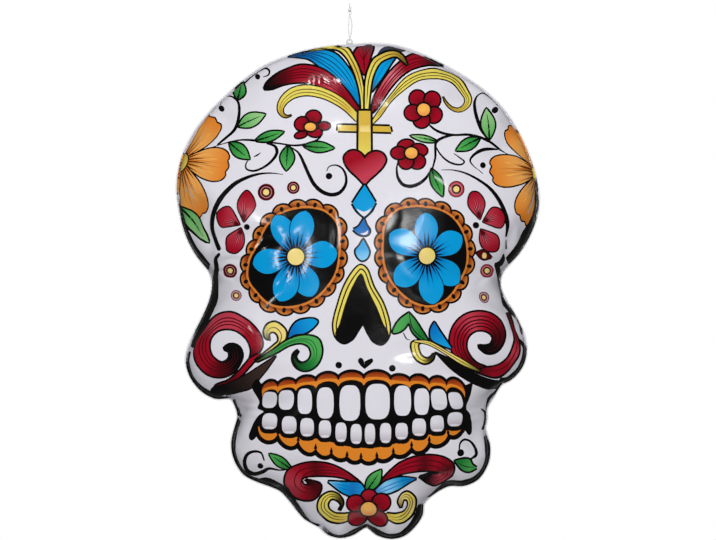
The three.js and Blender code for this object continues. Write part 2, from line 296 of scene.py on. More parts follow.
def closed_curve(points, step=CURVE_STEP):
    """Smooth closed curve through points, with a corner where a point is written twice."""
    points = np.array(points, float)
    count = len(points)
    corners = [i for i in range(count) if np.array_equal(points[i], points[(i + 1) % count])]
    if not corners:
        return run_through(np.vstack([points, points[0]]), points[-1], points[1], step)
    points = np.roll(points, -(corners[0] + 1), axis=0)
    ends = [0] + [i - corners[0] for i in corners[1:]] + [count]
    return np.vstack([open_curve(points[start:end + 1], step)[:-1] for start, end in zip(ends, ends[1:])])


def angle_of(points):
    """Angle of each point round the skull's middle."""
    return np.arctan2(points[:, 1], points[:, 0])


def from_middle(radius, angle):
    """Points at a distance from the skull's middle and an angle round it."""
    return np.stack([radius * np.cos(angle), radius * np.sin(angle)], axis=-1)


def weld_line():
    """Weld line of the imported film, in millimetres from the skull's middle, anticlockwise."""
    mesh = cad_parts["front_panel"].data
    found = set()
    for face in mesh.polygons:
        corners = [mesh.vertices[index].co / MM for index in face.vertices]
        if min(corner.y for corner in corners) < -flange_face - RISEN:
            found.update((round(corner.x, 3), round(corner.z, 3)) for corner in corners
                         if abs(corner.y + flange_face) < WELD_TOLERANCE)
    points = np.array(sorted(found)) - middle_mm
    return closed_curve(points[np.argsort(angle_of(points))], WELD_STEP)


weld = weld_line()
weld_angle = angle_of(weld)
weld_order = np.argsort(weld_angle)


def weld_radius(angle):
    """Distance from the skull's middle to the weld line."""
    return np.interp(angle, weld_angle[weld_order], np.hypot(*weld.T)[weld_order], period=full_turn)


def mean_reach(points):
    """Mean distance from each point to the weld line, weighted by angle, which is nought on the weld."""
    reach = []
    for part in np.array_split(points, max(1, len(points) // POINTS_AT_ONCE)):
        away = weld[None] - part[:, None]
        far = np.maximum(np.linalg.norm(away, axis=2), LEAST_STEP)
        on = np.roll(away, -1, axis=1)
        far_on = np.roll(far, -1, axis=1)
        turn = away[..., 0] * on[..., 1] - away[..., 1] * on[..., 0]
        tangent = turn / np.maximum(far * far_on + (away * on).sum(2), TINY)
        reach.append(1 / np.maximum(np.abs((tangent * (1 / far + 1 / far_on)).sum(1)), TINY))
    return np.concatenate(reach)


# Rays from the middle to the weld, with steps that crowd towards the weld, and the film's length along them
ray_angle = np.arange(DOME_RAYS) / DOME_RAYS * 2 * math.pi
ray_step = np.linspace(0, 1, DOME_STEPS + 1)
ray_share = 1 - (1 - ray_step) ** 2
ray_radius = weld_radius(ray_angle)[:, None] * ray_share[None]
ray_points = from_middle(ray_radius, ray_angle[:, None])
ray_reach = mean_reach(ray_points.reshape(-1, 2)).reshape(ray_radius.shape)
ray_reach[:, -1] = 0
deepest_reach = ray_reach.max()


def rise_at(reach):
    """Height of the blown-up film over its flange at a mean reach to the weld."""
    return crown * np.sqrt(np.minimum(1, reach / deepest_reach))


def film_rise(points):
    """Height of the blown-up film over its flange, at points seen from the front."""
    return rise_at(mean_reach(points))


ray_length = np.zeros_like(ray_radius)
ray_steps_up = np.diff(rise_at(ray_reach), axis=1)
ray_length[:, 1:] = np.cumsum(np.hypot(np.diff(ray_radius, axis=1), ray_steps_up), axis=1)
length_share = np.linspace(0, 1, DOME_STEPS + 1)
step_at_length = np.stack([np.interp(length_share * row[-1], row, ray_step) for row in ray_length])


def look_up(table, angle, share):
    """Value of a table of rays at an angle and a share of the ray."""
    across = (angle % full_turn) / full_turn * DOME_RAYS
    left = np.floor(across).astype(int)
    along_ray = np.clip(share, 0, 1) * DOME_STEPS
    low = np.minimum(np.floor(along_ray).astype(int), DOME_STEPS - 1)
    u = across - left
    v = along_ray - low
    right = (left + 1) % DOME_RAYS
    left = left % DOME_RAYS
    return ((1 - u) * ((1 - v) * table[left, low] + v * table[left, low + 1])
            + u * ((1 - v) * table[right, low] + v * table[right, low + 1]))


def film_edge(angle):
    """Length of the flat film from its middle to the weld."""
    return np.interp(angle, ray_angle, ray_length[:, -1], period=full_turn)


def lay_flat(points):
    """Moves points seen from the front to where they lie on the flat film, before it is blown up."""
    points = np.atleast_2d(np.array(points, float))
    angle = angle_of(points)
    radius = np.hypot(*points.T)
    step = 1 - np.sqrt(np.maximum(1 - radius / weld_radius(angle), 0))
    length = look_up(ray_length, angle, step) + np.maximum(radius - weld_radius(angle), 0)
    return from_middle(length, angle)


def blow_up(points):
    """Moves points of the flat film to where they are seen from the front on the blown-up film."""
    angle = angle_of(points)
    step = look_up(step_at_length, angle, np.hypot(*points.T) / film_edge(angle))
    return from_middle(weld_radius(angle) * (1 - (1 - step) ** 2), angle)


# Print
# Traditional sugar-skull ornament: eyes as flowers, marigolds, vines, plumes, scrolls, a heart and a cross.
# It is drawn in millimetres from the skull's middle, shape over shape, as flat inks with black outlines.
# An ink is written as it is seen on a screen.
LINE = 2.3
PRINT_TOLERANCE = 0.12
SCREEN_INKS = {
    # The second white on the next line, for the weld strip, is greyer: painted shade where the film turns
    # at its edge.
    "white": (0.89, 0.88, 0.91), "weld": (0.82, 0.81, 0.84), "tooth": (0.72, 0.68, 0.71),
    # The grey on the next line also paints shade on the plumes, mostly where they run up to the top edge
    # and the film turns away.
    "black": (0.035, 0.03, 0.03), "slate": (0.26, 0.25, 0.27), "umber": (0.24, 0.18, 0.16),
    # The lighter reds here are partly print and partly painted highlight, where they lighten crimson
    # plumes, scrolls and the brow heart.
    "wine": (0.33, 0.02, 0.06), "crimson": (0.62, 0.03, 0.13), "rose": (0.76, 0.24, 0.31),
    "pink": (0.85, 0.45, 0.50), "blush": (0.72, 0.56, 0.58),
    "navy": (0.02, 0.22, 0.42), "deep_blue": (0.00, 0.43, 0.74), "blue": (0.00, 0.61, 0.86),
    "blue_pale": (0.55, 0.82, 0.97),
    "olive": (0.27, 0.22, 0.04), "gold": (0.84, 0.70, 0.26), "yellow": (0.90, 0.83, 0.37),
    "cream": (0.95, 0.85, 0.52), "amber": (0.97, 0.72, 0.30),
    "brown": (0.42, 0.20, 0.05), "deep_orange": (0.88, 0.48, 0.10), "orange": (0.95, 0.68, 0.35),
    "dark_gum": (0.48, 0.16, 0.04), "gum": (0.88, 0.52, 0.15), "rust_red": (0.70, 0.30, 0.09),
    "rust": (0.83, 0.49, 0.19),
    "deep_green": (0.10, 0.46, 0.19), "green": (0.30, 0.66, 0.32), "sage": (0.58, 0.79, 0.52),
}


def linear(colour):
    """Linear light from a colour as it is seen on a screen."""
    colour = np.array(colour)
    return np.where(colour <= 0.04045, colour / 12.92, ((colour + 0.055) / 1.055) ** 2.4)


INKS = {name: linear(colour) for name, colour in SCREEN_INKS.items()}
prints = []


def thinned(outline):
    """Outline with only the points that its shape needs."""
    def kept(first, last):
        if last - first < 2:
            return []
        start, run = outline[first], outline[last] - outline[first]
        inner = outline[first + 1:last] - start
        length = math.hypot(*run)
        if length < TINY:
            away = np.hypot(*inner.T)
        else:
            away = np.abs(inner[:, 0] * run[1] - inner[:, 1] * run[0]) / length
        worst = int(np.argmax(away))
        if away[worst] < PRINT_TOLERANCE:
            return []
        worst += first + 1
        return kept(first, worst) + [worst] + kept(worst, last)

    half = len(outline) // 2
    outline = np.vstack([outline, outline[0]])
    return outline[[0] + kept(0, half) + [half] + kept(half, len(outline) - 1)]


def even_tint(name):
    """Tint of one colour all over."""
    def tint(points):
        return np.tile(INKS[name], (len(points), 1))
    return tint


def ink(outline, tint, on_flat=False):
    """Prints one shape over those before it. Its tint is a colour's name, or a function of the place."""
    flat = np.array(outline) if on_flat else lay_flat(outline)
    prints.append((thinned(flat), even_tint(tint) if isinstance(tint, str) else tint, on_flat))


def fade(near, far, start, end):
    """Tint that goes over from one colour to another between two points."""
    start, run = np.array(start, float), np.array(end, float) - start

    def tint(points):
        share = np.clip((points - start) @ run / (run @ run), 0, 1)[:, None]
        return INKS[near] * (1 - share) + INKS[far] * share
    return tint


def point_tree(points):
    """Tree for finding the nearest of points in a plane."""
    tree = kdtree.KDTree(len(points))
    for index, (x, z) in enumerate(points):
        tree.insert((x, z, 0), index)
    tree.balance()
    return tree


def along(track, names):
    """Tint that runs through colours, named in one string, along a track."""
    tree = point_tree(track)
    colours = np.array([INKS[name] for name in names.split()])
    stops = np.linspace(0, len(track) - 1, len(colours))

    def tint(points):
        place = [tree.find((x, z, 0))[1] for x, z in points]
        return np.stack([np.interp(place, stops, colours[:, band]) for band in range(3)], axis=1)
    return tint


def walked(line):
    """Distance along a line from its start to each of its points."""
    return np.concatenate([[0], np.cumsum(np.hypot(*np.diff(line, axis=0).T))])


def points_at(line, places):
    """Points at given distances along a line."""
    return np.stack([np.interp(places, walked(line), line[:, axis]) for axis in (0, 1)], axis=1)


def evenly(line, count=64):
    """Points at even distances along a line."""
    return points_at(line, np.linspace(0, walked(line)[-1], count))


def sideways(line, closed=False):
    """Directions square to a line, on its left."""
    run = np.roll(line, -1, axis=0) - np.roll(line, 1, axis=0) if closed else np.gradient(line, axis=0)
    run /= np.maximum(np.hypot(*run.T), TINY)[:, None]
    return np.stack([-run[:, 1], run[:, 0]], axis=1)


def square_to(run):
    """Direction square to one run, on its left."""
    return np.array([-run[1], run[0]]) / math.hypot(*run)


def grown(outline, width):
    """Outline moved outwards by a width."""
    x, z = outline.T
    area = (x * np.roll(z, -1) - np.roll(x, -1) * z).sum()
    return outline - math.copysign(width, area) * sideways(outline, closed=True)


def outlined(outline, tint, line=LINE, on_flat=False):
    """Prints a shape with a black line round it."""
    if line:
        ink(grown(outline, line), "black", on_flat)
    ink(outline, tint, on_flat)


def patch(points, tint, line=LINE):
    """Shape with a smooth outline through points."""
    outlined(closed_curve(points), tint, line)


BRUSH_TIP = 0.7


def brush(track, widths, tint="black", on_flat=False):
    """Brush stroke along a track, whose width follows the given widths."""
    places = np.linspace(0, 1, len(track))
    half = np.interp(places, np.linspace(0, 1, len(widths)), widths)[:, None] / 2
    side = sideways(track)
    first, last = track[1] - track[0], track[-1] - track[-2]
    start = track[0] - first / max(math.dist(track[1], track[0]), TINY) * half[0] * BRUSH_TIP
    end = track[-1] + last / max(math.dist(track[-1], track[-2]), TINY) * half[-1] * BRUSH_TIP
    ink(np.vstack([start, track - side * half, end, (track + side * half)[::-1]]), tint, on_flat)


def stem(points, widths, tint="black"):
    """Brush stroke through points."""
    brush(evenly(open_curve(points)), widths, tint)


STRIPE_TIP = 0.15
STRIPE_RUN = slice(3, -4)


def ribbon(edge_a, edge_b, names, stripes=(), line=LINE):
    """Band between two edges, coloured along its length, with fine stripes at shares of its width."""
    a, b = evenly(open_curve(edge_a)), evenly(open_curve(edge_b))
    outlined(np.vstack([a, b[::-1]]), along((a + b) / 2, names), line)
    for share, width, name in stripes:
        widths = (STRIPE_TIP, width, width, width * 0.8, STRIPE_TIP)
        brush((a + (b - a) * share)[STRIPE_RUN], widths, name)


def oval(centre, radius_x, radius_z, turn=0, count=40):
    """Points of an ellipse."""
    angle = np.arange(count) / count * 2 * math.pi
    x, z = radius_x * np.cos(angle), radius_z * np.sin(angle)
    c, s = math.cos(math.radians(turn)), math.sin(math.radians(turn))
    return np.array(centre) + np.stack([x * c - z * s, x * s + z * c], axis=1)


def disc(centre, radius, tint):
    """Round dot."""
    ink(oval(centre, radius, radius), tint)


def blade(base, tip, width, fullest, blunt, count=26):
    """Outline of a leaf or petal from base to tip, and its frame: base, length along and square to it."""
    base, tip = np.array(base, float), np.array(tip, float)
    run = tip - base
    side = square_to(run)
    t = np.linspace(0, 1, count)
    half = width / 2 * np.maximum(np.sin(math.pi * t ** (math.log(0.5) / math.log(fullest))), 0) ** blunt
    left = base + t[:, None] * run + half[:, None] * side
    right = base + t[:, None] * run - half[:, None] * side
    return np.vstack([left, right[-2:0:-1]]), base, run, side


LEAF_TONES = {
    "green": ("deep_green", "green"), "sage": ("green", "sage"), "deep_green": ("deep_green", "green"),
}
LEAF_LINE = 2.0
LEAF_FADE = 0.75
LEAF_VEIN = (2.0, 1.6, 0.4)
LEAF_VEIN_END = 0.82
LEAF_SIDE_VEINS = ((0.3, 0.3), (0.3, -0.3), (0.5, 0.24), (0.5, -0.24))
LEAF_SIDE_VEIN = (0.6, 0.1)
LEAF_SIDE_VEIN_RUN = 0.2


def leaf(base, tip, width, tone):
    """Pointed leaf with a dark vein, from which side veins leave at shares of its length and width."""
    shape, base, run, side = blade(base, tip, width, fullest=0.48, blunt=1.0)
    dark, light = LEAF_TONES[tone]
    outlined(shape, fade(dark, light, base, base + run * LEAF_FADE), LEAF_LINE)
    bend = base + run * 0.4 - side * 0.4
    brush(evenly(open_curve([base, bend, base + run * LEAF_VEIN_END])), LEAF_VEIN)
    for share, reach in LEAF_SIDE_VEINS:
        start = base + run * share
        end = start + run * LEAF_SIDE_VEIN_RUN + side * width * reach
        brush(evenly(open_curve([start, end])), LEAF_SIDE_VEIN, dark)


STREAK_STEPS = 20
STREAK_START = 0.05
STREAK_BEND = 0.16
STREAK_BEND_SPREAD = 0.4
STREAK_SPREAD = 0.3
STREAK_SHORTENING = 0.35
STREAK_TAPER = 0.8
STREAK_TIP = 0.1


def streaks(base, run, side, width, reach, count, thick, tint, on_flat=False):
    """Fan of fine strokes from the base of a petal, the outer ones shorter."""
    for index in range(count):
        spread = (2 * index / (count - 1) - 1) * STREAK_SPREAD
        shorter = 1 - STREAK_SHORTENING * abs(spread) / STREAK_SPREAD
        bend = base + run * STREAK_BEND + side * width * spread * STREAK_BEND_SPREAD
        far = base + run * reach * shorter + side * width * spread
        track = evenly(open_curve([base + run * STREAK_START, bend, far]), STREAK_STEPS)
        brush(track, (thick, thick * STREAK_TAPER, STREAK_TIP), tint, on_flat)


HEART_GLINT = 0.55
HEART_GLINT_SHIFT = np.array([-0.15, 0.2])


def flower(centre, petals, heart):
    """Small crimson flower with round petals and a yellow heart."""
    centre = np.array(centre)
    for x, z, radius_x, radius_z, turn in petals:
        out = np.array([x, z]) - centre
        tint = fade("wine", "crimson", centre, np.array([x, z]) + out * 0.4)
        outlined(oval((x, z), radius_x, radius_z, turn), tint, line=2.1)
        run = out * 1.25
        streaks(centre, run, square_to(run), radius_x, reach=0.95, count=3, thick=1.3, tint="wine")
    below = centre - np.array([0, 2.0 * heart[1]])
    outlined(oval(centre, *heart), fade("orange", "deep_orange", centre, below), line=2.0)
    glint = centre + HEART_GLINT_SHIFT * heart[0]
    ink(oval(glint, heart[0] * HEART_GLINT, heart[1] * HEART_GLINT), "amber")


PETAL_EDGE = [
    (0.02, 0.05), (0.28, 0.25), (0.55, 0.45), (0.78, 0.5), (0.92, 0.42), (0.975, 0.28), (0.96, 0.17),
]


def notched_petal(base, tip, width):
    """Outline of a broad petal with three lobes at its tip, its run, and the direction square to it."""
    run = tip - base
    side = square_to(run)
    left = [base + run * along_run + side * width * across for along_run, across in PETAL_EDGE]
    right = [base + run * along_run - side * width * across for along_run, across in PETAL_EDGE]
    return closed_curve([base, base, *left, tip, *right[::-1]]), run, side


MARIGOLD_LINE = 1.8
MARIGOLD_FADE_START = 0.5
MARIGOLD_FADE_END = 1.02
GLINT_PLACES = (-0.28, 0.16)
GLINT_TOP = 0.8
GLINT_TOP_DROP = 0.4
GLINT_FOOT = 0.6
GLINT_LEAN = 0.8
GLINT_BOW = 0.6
GLINT_STEPS = 10
GLINT_WIDTHS = (0.2, 1.6, 0.2)


def marigold(centre, radius, petals, hidden):
    """Orange flower drawn on the flat film: petals to tips in view, and more that run over to the weld."""
    base = lay_flat(centre)[0]
    tips = [(base + length * np.array([math.cos(math.radians(turn)), math.sin(math.radians(turn))]), width)
            for turn, length, width in hidden]
    tips += [(lay_flat(tip)[0], width) for tip, width in petals]
    for tip, width in tips:
        shape, run, side = notched_petal(base, tip, width)
        fade_start, fade_end = base + run * MARIGOLD_FADE_START, base + run * MARIGOLD_FADE_END
        tint = fade("orange", "deep_orange", fade_start, fade_end)
        outlined(shape, tint, MARIGOLD_LINE, on_flat=True)
        streaks(base, run, side, width * 1.25, reach=0.95, count=6, thick=1.1,
                tint="deep_orange", on_flat=True)
        streaks(base, run, side, width, reach=0.68, count=5, thick=2.2, tint="brown", on_flat=True)
        for across in GLINT_PLACES:
            start = base + run * (GLINT_TOP - GLINT_TOP_DROP * across ** 2) + side * width * across
            end = base + run * GLINT_FOOT + side * width * across * GLINT_LEAN
            bow = (start + end) / 2 + side * GLINT_BOW
            glint = evenly(open_curve([start, bow, end]), GLINT_STEPS)
            brush(glint, GLINT_WIDTHS, "amber", on_flat=True)
    heart = oval(base, radius, radius)
    outlined(heart, fade("yellow", "gold", base, base + radius), MARIGOLD_LINE, on_flat=True)


def ring_dot(centre, radius, tone):
    """Rings from dark to pale round a cream heart."""
    for share, name in ((1.0, "wine"), (0.86, tone), (0.68, "blush"), (0.6, "wine"), (0.36, "cream")):
        disc(centre, radius * share, name)


def sprig(centre, radius, petals):
    """Pointed petals round a black dot, streaked from their base."""
    for points in petals:
        base, far = np.array(points[0]), np.mean(points[2:-1], axis=0)
        run = far - base
        side = square_to(run)
        tint = fade("rose", "crimson", base + run * 0.2, far)
        outlined(closed_curve([points[0], *points]), tint, line=1.6)
        streaks(base, run, side, width=12, reach=0.9, count=4, thick=0.8, tint="pink")
        streaks(base, run, side, width=15, reach=0.85, count=5, thick=1.3, tint="wine")
    disc(centre, radius, "black")


LOBE_HEIGHT = 8.6
LOBE_HALF_WIDTH = 10.2
LOBE_SHIFT = 0.6
LOBE_LINE = 2.2
LOBE_FADE_START = 2
LOBE_FADE_END = 8
LOBE_DOT = (3.0, 2.2)
LOBE_DOT_SHIFT = 4.4
RING_BAND = 2.6


def eye(socket, lobes, heart, heart_radius, tips, widths):
    """Scalloped ring round a black socket with a blue flower in it."""
    edge = closed_curve(socket)
    ring = np.vstack([edge, edge[0]])
    spots = points_at(ring, np.arange(lobes) / lobes * walked(ring)[-1])
    outs = spots - edge.mean(0)
    outs /= np.hypot(*outs.T)[:, None]
    turns = np.degrees(angle_of(outs))
    for spot, out, turn in zip(spots, outs, turns):
        lobe = oval(spot + out * LOBE_SHIFT, LOBE_HEIGHT, LOBE_HALF_WIDTH, turn)
        tint = fade("dark_gum", "rust", spot + out * LOBE_FADE_START, spot + out * LOBE_FADE_END)
        outlined(lobe, tint, LOBE_LINE)
    ink(grown(edge, RING_BAND), "rust")
    for spot, out, turn in zip(spots, outs, turns):
        ink(oval(spot + out * LOBE_DOT_SHIFT, *LOBE_DOT, turn), "black")
    ink(edge, "black")
    heart = np.array(heart)
    for tip, width in zip(tips, widths):
        shape, base, run, side = blade(heart, tip, width, fullest=0.64, blunt=0.62)
        outlined(shape, fade("deep_blue", "blue", base + run * 0.15, base + run * 0.55), line=1.0)
        streaks(base, run, side, width * 1.15, reach=0.8, count=4, thick=1.3, tint="deep_blue")
        streaks(base, run, side, width, reach=0.62, count=4, thick=2.9, tint="black")
    core = oval(heart, heart_radius, heart_radius)
    outlined(core, fade("cream", "yellow", heart, heart + heart_radius), line=1.8)


ARCH_STEPS = 15
ARCH_BLUNT = 0.6


def scallops(edge):
    """Line of round arches through valleys and tops by turns."""
    edge = np.array(edge, float)
    share = np.linspace(0, 1, ARCH_STEPS)
    arches = []
    for left, top, right in zip(edge[0:-2:2], edge[1:-1:2], edge[2::2]):
        arch = left + (right - left) * share[:, None]
        arch[:, 1] += (top[1] - (left[1] + right[1]) / 2) * (1 - (2 * share - 1) ** 2) ** ARCH_BLUNT
        arches.append(arch)
    return arches


def gums(edge, inner, line, dark=0):
    """Gum between scallops and an inner line, with dark crescents of a given thickness in the arches."""
    arches = scallops(edge)
    shape = np.vstack([arch[:-1] for arch in arches] + [arches[-1][-1:], np.array(inner, float)[::-1]])
    ink(grown(shape, line), "black")
    ink(shape, "gum")
    if not dark:
        return
    for arch in arches:
        depth = dark * np.sin(np.linspace(0, math.pi, ARCH_STEPS)) ** ARCH_BLUNT
        crescent = np.vstack([arch, (arch - np.stack([0 * depth, depth], axis=1))[-2:0:-1]])
        top = arch[ARCH_STEPS // 2]
        ink(crescent, fade("dark_gum", "rust_red", top, top - (0, dark)))


TOOTH_STEPS = 44
TOOTH_BLUNT = 0.68


def tooth(centre, wide, tall, tint, lean=0):
    """Rounded tooth."""
    angle = np.arange(TOOTH_STEPS) / TOOTH_STEPS * 2 * math.pi
    x = wide / 2 * np.sign(np.cos(angle)) * np.abs(np.cos(angle)) ** TOOTH_BLUNT
    z = tall / 2 * np.sign(np.sin(angle)) * np.abs(np.sin(angle)) ** TOOTH_BLUNT
    x = x + z * math.tan(math.radians(lean))
    ink(np.array(centre) + np.stack([x, z], axis=1), tint)


# Plumes on the forehead, fanned out above the cross
# Plumes that run up to the top edge go over to grey there: painted shade where the film turns away.
patch([(7.5, 244.5), (7.5, 244.5), (1.5, 255), (-3.5, 263), (-4, 267.5), (-1, 272), (4, 275.5), (10, 278),
       (16, 278), (17.5, 275), (15, 267.5), (12, 256)],
      fade("crimson", "slate", (6, 266), (12, 280)))
for top in [(1, 270.5), (6, 274), (11, 276), (14.5, 275)]:
    stem([(8, 248), (7, 260.5), top], (0.3, 1.1, 0.4), "wine")
ribbon([(-79, 266.5), (-65.5, 270.5), (-50.5, 272), (-33.5, 270.5), (-19, 263), (-7.5, 248), (-0.5, 229),
        (3, 212)],
       [(-79, 266), (-66.5, 265), (-54, 262), (-40.5, 252), (-25.5, 239.5), (-12, 225.5), (0.5, 209.5)],
       "navy deep_blue blue blue blue deep_blue",
       stripes=[(0.2, 0.9, "navy"), (0.42, 1.2, "navy"), (0.62, 1.0, "navy"), (0.78, 1.2, "navy")])
ribbon([(21, 265), (26.5, 272.5), (37, 276.5), (48.5, 275), (54, 272)],
       [(22, 262), (29, 267.5), (38, 270.5), (46, 270), (53, 271)],
       "navy slate slate", line=0.8)
ribbon([(15.5, 225.5), (16.5, 235.5), (21, 248), (26.5, 257), (34.5, 264), (44, 266.5)],
       [(15.5, 224.5), (22, 233), (29, 243), (34.5, 252), (39, 259.5), (44, 266)],
       "slate blue blue deep_blue",
       stripes=[(0.5, 0.9, "deep_blue")])
# The light middle of this crimson plume is partly print and partly painted highlight.
ribbon([(-105, 229), (-102, 235.5), (-94, 243.5), (-80, 251), (-62, 255), (-42.5, 251.5), (-28, 242.5),
        (-13, 226.5), (1.5, 206)],
       [(-105, 228.5), (-97, 229), (-83.5, 233.5), (-67.5, 236), (-51.5, 234.5), (-34.5, 227.5),
        (-22, 221), (-11, 210.5), (1.5, 198)],
       "black black wine crimson crimson crimson rose crimson crimson wine",
       stripes=[(0.2, 1.3, "wine"), (0.38, 1.2, "wine"), (0.55, 1.3, "wine"), (0.72, 1.2, "wine")])
# The light middle of this crimson plume is partly print and partly painted highlight.
ribbon([(15.5, 201.5), (19, 217.5), (25.5, 231), (34.5, 244.5), (45, 256), (54, 263), (63, 266.5),
        (76.5, 264.5), (97, 256)],
       [(15.5, 200.5), (20, 204.5), (28, 216.5), (38, 231), (48.5, 242.5), (59.5, 250.5), (71, 254.5),
        (84.5, 256), (97, 255.5)],
       "wine crimson rose pink crimson crimson wine slate",
       stripes=[(0.3, 1.2, "wine"), (0.6, 1.4, "wine"), (0.8, 1.0, "wine")])
ribbon([(-55, 273.5), (-37, 279), (-20, 277), (-9.5, 271.5), (-1.5, 259.5), (4, 242.5), (7.5, 219.5),
        (8, 204)],
       [(-55, 273), (-36, 273.5), (-22, 271.5), (-12, 264.5), (-6.5, 255), (-0.5, 238), (3.5, 219.5),
        (4.5, 204)],
       "olive yellow yellow gold yellow yellow",
       stripes=[(0.5, 1.3, "olive")])
ribbon([(8.5, 204), (8.5, 219.5), (9.5, 238), (13, 251.5), (19, 263), (28, 268.5), (36, 270.5), (44, 270),
        (52, 264.5), (56, 256.5)],
       [(12, 204), (13.5, 221), (16, 238), (20, 249.5), (26, 259), (35, 264), (43.5, 265.5), (50, 261.5),
        (55.5, 256)],
       "yellow yellow yellow gold olive",
       stripes=[(0.5, 1.3, "olive")])
ribbon([(-0.5, 200.5), (-15, 215.5), (-30, 225), (-46.5, 231), (-61.5, 232), (-75.5, 228), (-85, 219.5),
        (-89.5, 210), (-89, 202.5), (-85, 197.5), (-80, 196), (-74, 198.5)],
       [(-0.5, 190.5), (-15, 204.5), (-30, 214), (-43.5, 219), (-59, 221), (-71.5, 218), (-80, 212),
        (-84, 205), (-83, 200), (-79.5, 197.5), (-74, 198.5)],
       "yellow gold yellow yellow yellow yellow yellow gold black",
       stripes=[(0.36, 1.1, "olive"), (0.68, 0.9, "olive")],
       line=1.5)
ribbon([(15.5, 190.5), (28, 208.5), (41, 225.5), (55, 241), (70.5, 248.5), (87.5, 250.5), (103, 245.5),
        (116, 237.5), (124.5, 228.5), (128.5, 219), (126.5, 210.5), (121, 205), (113, 202.5),
        (104.5, 206), (99, 212), (96, 219.5)],
       [(16.5, 188), (25.5, 197), (38, 214.5), (52.5, 227.5), (68, 238), (82, 241), (96, 239.5),
        (109, 234.5), (118, 226.5), (122, 218), (120, 210.5), (114, 206), (106.5, 207.5), (100.5, 213),
        (96.5, 219.5)],
       "yellow gold yellow yellow yellow yellow yellow yellow gold olive",
       stripes=[(0.36, 1.1, "olive"), (0.68, 0.9, "olive")],
       line=1.4)

# Gold cross, crimson heart and three tears on the brow
patch([(-22, 187), (-22, 187), (36.5, 185.5), (36.5, 185.5), (38, 179), (38, 179), (-22, 180.5),
       (-22, 180.5)],
      fade("cream", "gold", (-22, 183.5), (-8.5, 183.5)))
patch([(1.5, 203), (1.5, 203), (14.5, 203), (14.5, 203), (15, 149), (15, 149), (1, 149), (1, 149)],
      fade("gold", "yellow", (7.5, 188), (7.5, 151.5)), line=2.6)
patch([(2.5, 187), (2.5, 187), (14, 187), (14, 187), (14.5, 179), (14.5, 179), (2.5, 179.5), (2.5, 179.5)],
      fade("gold", "cream", (7.5, 188), (7.5, 183.5)), line=0)
# The heart goes lighter towards its point, partly print and partly painted highlight.
patch([(8, 149), (8, 149), (13, 154.5), (21, 157), (28, 154.5), (31.5, 148), (29, 141.5), (22, 133.5),
       (14, 126.5), (8, 120), (8, 120), (0.5, 128), (-8.5, 136.5), (-13.5, 144), (-14.5, 151),
       (-10, 156.5), (-3.5, 158), (3.5, 155)],
      fade("crimson", "rose", (0.5, 149), (9.5, 131)), line=2.4)
patch([(8, 119.5), (8, 119.5), (14, 110), (20, 100), (20, 100), (15.5, 91), (7.5, 83.5), (7.5, 83.5),
       (-0.5, 90.5), (-5.5, 99), (-5.5, 99), (1.5, 110)],
      "blue", line=2.4)
patch([(-1, 93), (-1, 93), (7.5, 89.5), (16, 94), (16, 94), (13, 89), (7.5, 84.5), (2.5, 88)],
      "white", line=0)
patch([(7, 81.5), (7, 81.5), (10, 74), (13.5, 68.5), (11.5, 64), (5.5, 63), (-0.5, 65.5), (-4.5, 69.5),
       (-4.5, 69.5), (1.5, 73)],
      "deep_blue", line=2.2)
patch([(3, 65), (3, 65), (8, 66), (12, 69), (12, 69), (11, 65), (7, 63.5)], "white", line=0)
patch([(6.5, 58.5), (6.5, 58.5), (10, 51.5), (13, 44.5), (10, 37), (5, 35), (0, 39), (-2, 46),
       (2.5, 51.5)],
      fade("blue", "blue_pale", (5, 48), (5, 36.5)), line=2.2)

# Small crimson flowers
flower((-53, 185),
       [(-49.5, 196, 8.0, 7.0, 0), (-62.5, 188.5, 7.5, 7.0, 30), (-37.5, 186, 6.0, 3.8, 0),
        (-63.5, 176, 6.5, 3.0, 15), (-48.5, 179, 8.0, 4.8, -10)],
       (6.2, 4.6))
flower((74.5, 204.5),
       [(67.5, 217, 8.5, 9.0, 0), (84, 215.5, 8.5, 9.0, 0), (85.5, 198.5, 9.0, 8.4, 20),
        (72, 193, 8.6, 8.6, 0), (62.5, 201, 9.0, 8.4, 0)],
       (7.0, 7.0))
flower((60.5, 155.5),
       [(54.5, 163.5, 9.0, 6.6, 10), (69, 159, 9.0, 6.2, -10), (67, 146, 8.4, 7.8, 0),
        (54.5, 146, 7.8, 7.8, 0), (46.5, 155.5, 8.4, 6.4, 0)],
       (6.8, 6.2))

# Vine on the left of the brow
stem([(-39, 180.5), (-42, 173), (-53, 167), (-69, 164), (-89.5, 166.5), (-108.5, 169), (-130, 170.5),
      (-147, 167.5), (-166.5, 162)],
     (1.6, 2.6, 1.8, 3.0, 1.6, 0.5))
stem([(-157.5, 165.5), (-142.5, 179), (-136.5, 190), (-133.5, 204), (-135, 214), (-140.5, 219),
      (-146, 219.5), (-152, 215), (-154, 209.5)],
     (2.4, 3.4, 4.0, 3.2, 1.8, 0.7))
stem([(-128.5, 233.5), (-119.5, 242), (-108.5, 249.5), (-103, 251.5), (-99.5, 249), (-100.5, 245),
      (-106.5, 242)],
     (1.8, 2.4, 1.9, 2.3, 0.8))
stem([(-102, 166.5), (-92.5, 163), (-90.5, 156), (-96, 147), (-106.5, 139), (-117.5, 135.5), (-125, 138),
      (-125.5, 143.5), (-121.5, 149)],
     (2.0, 3.8, 3.0, 2.6, 2.2, 1.0))
stem([(-116.5, 151.5), (-113, 153), (-109, 156)], (0.8, 2.0, 0.8))
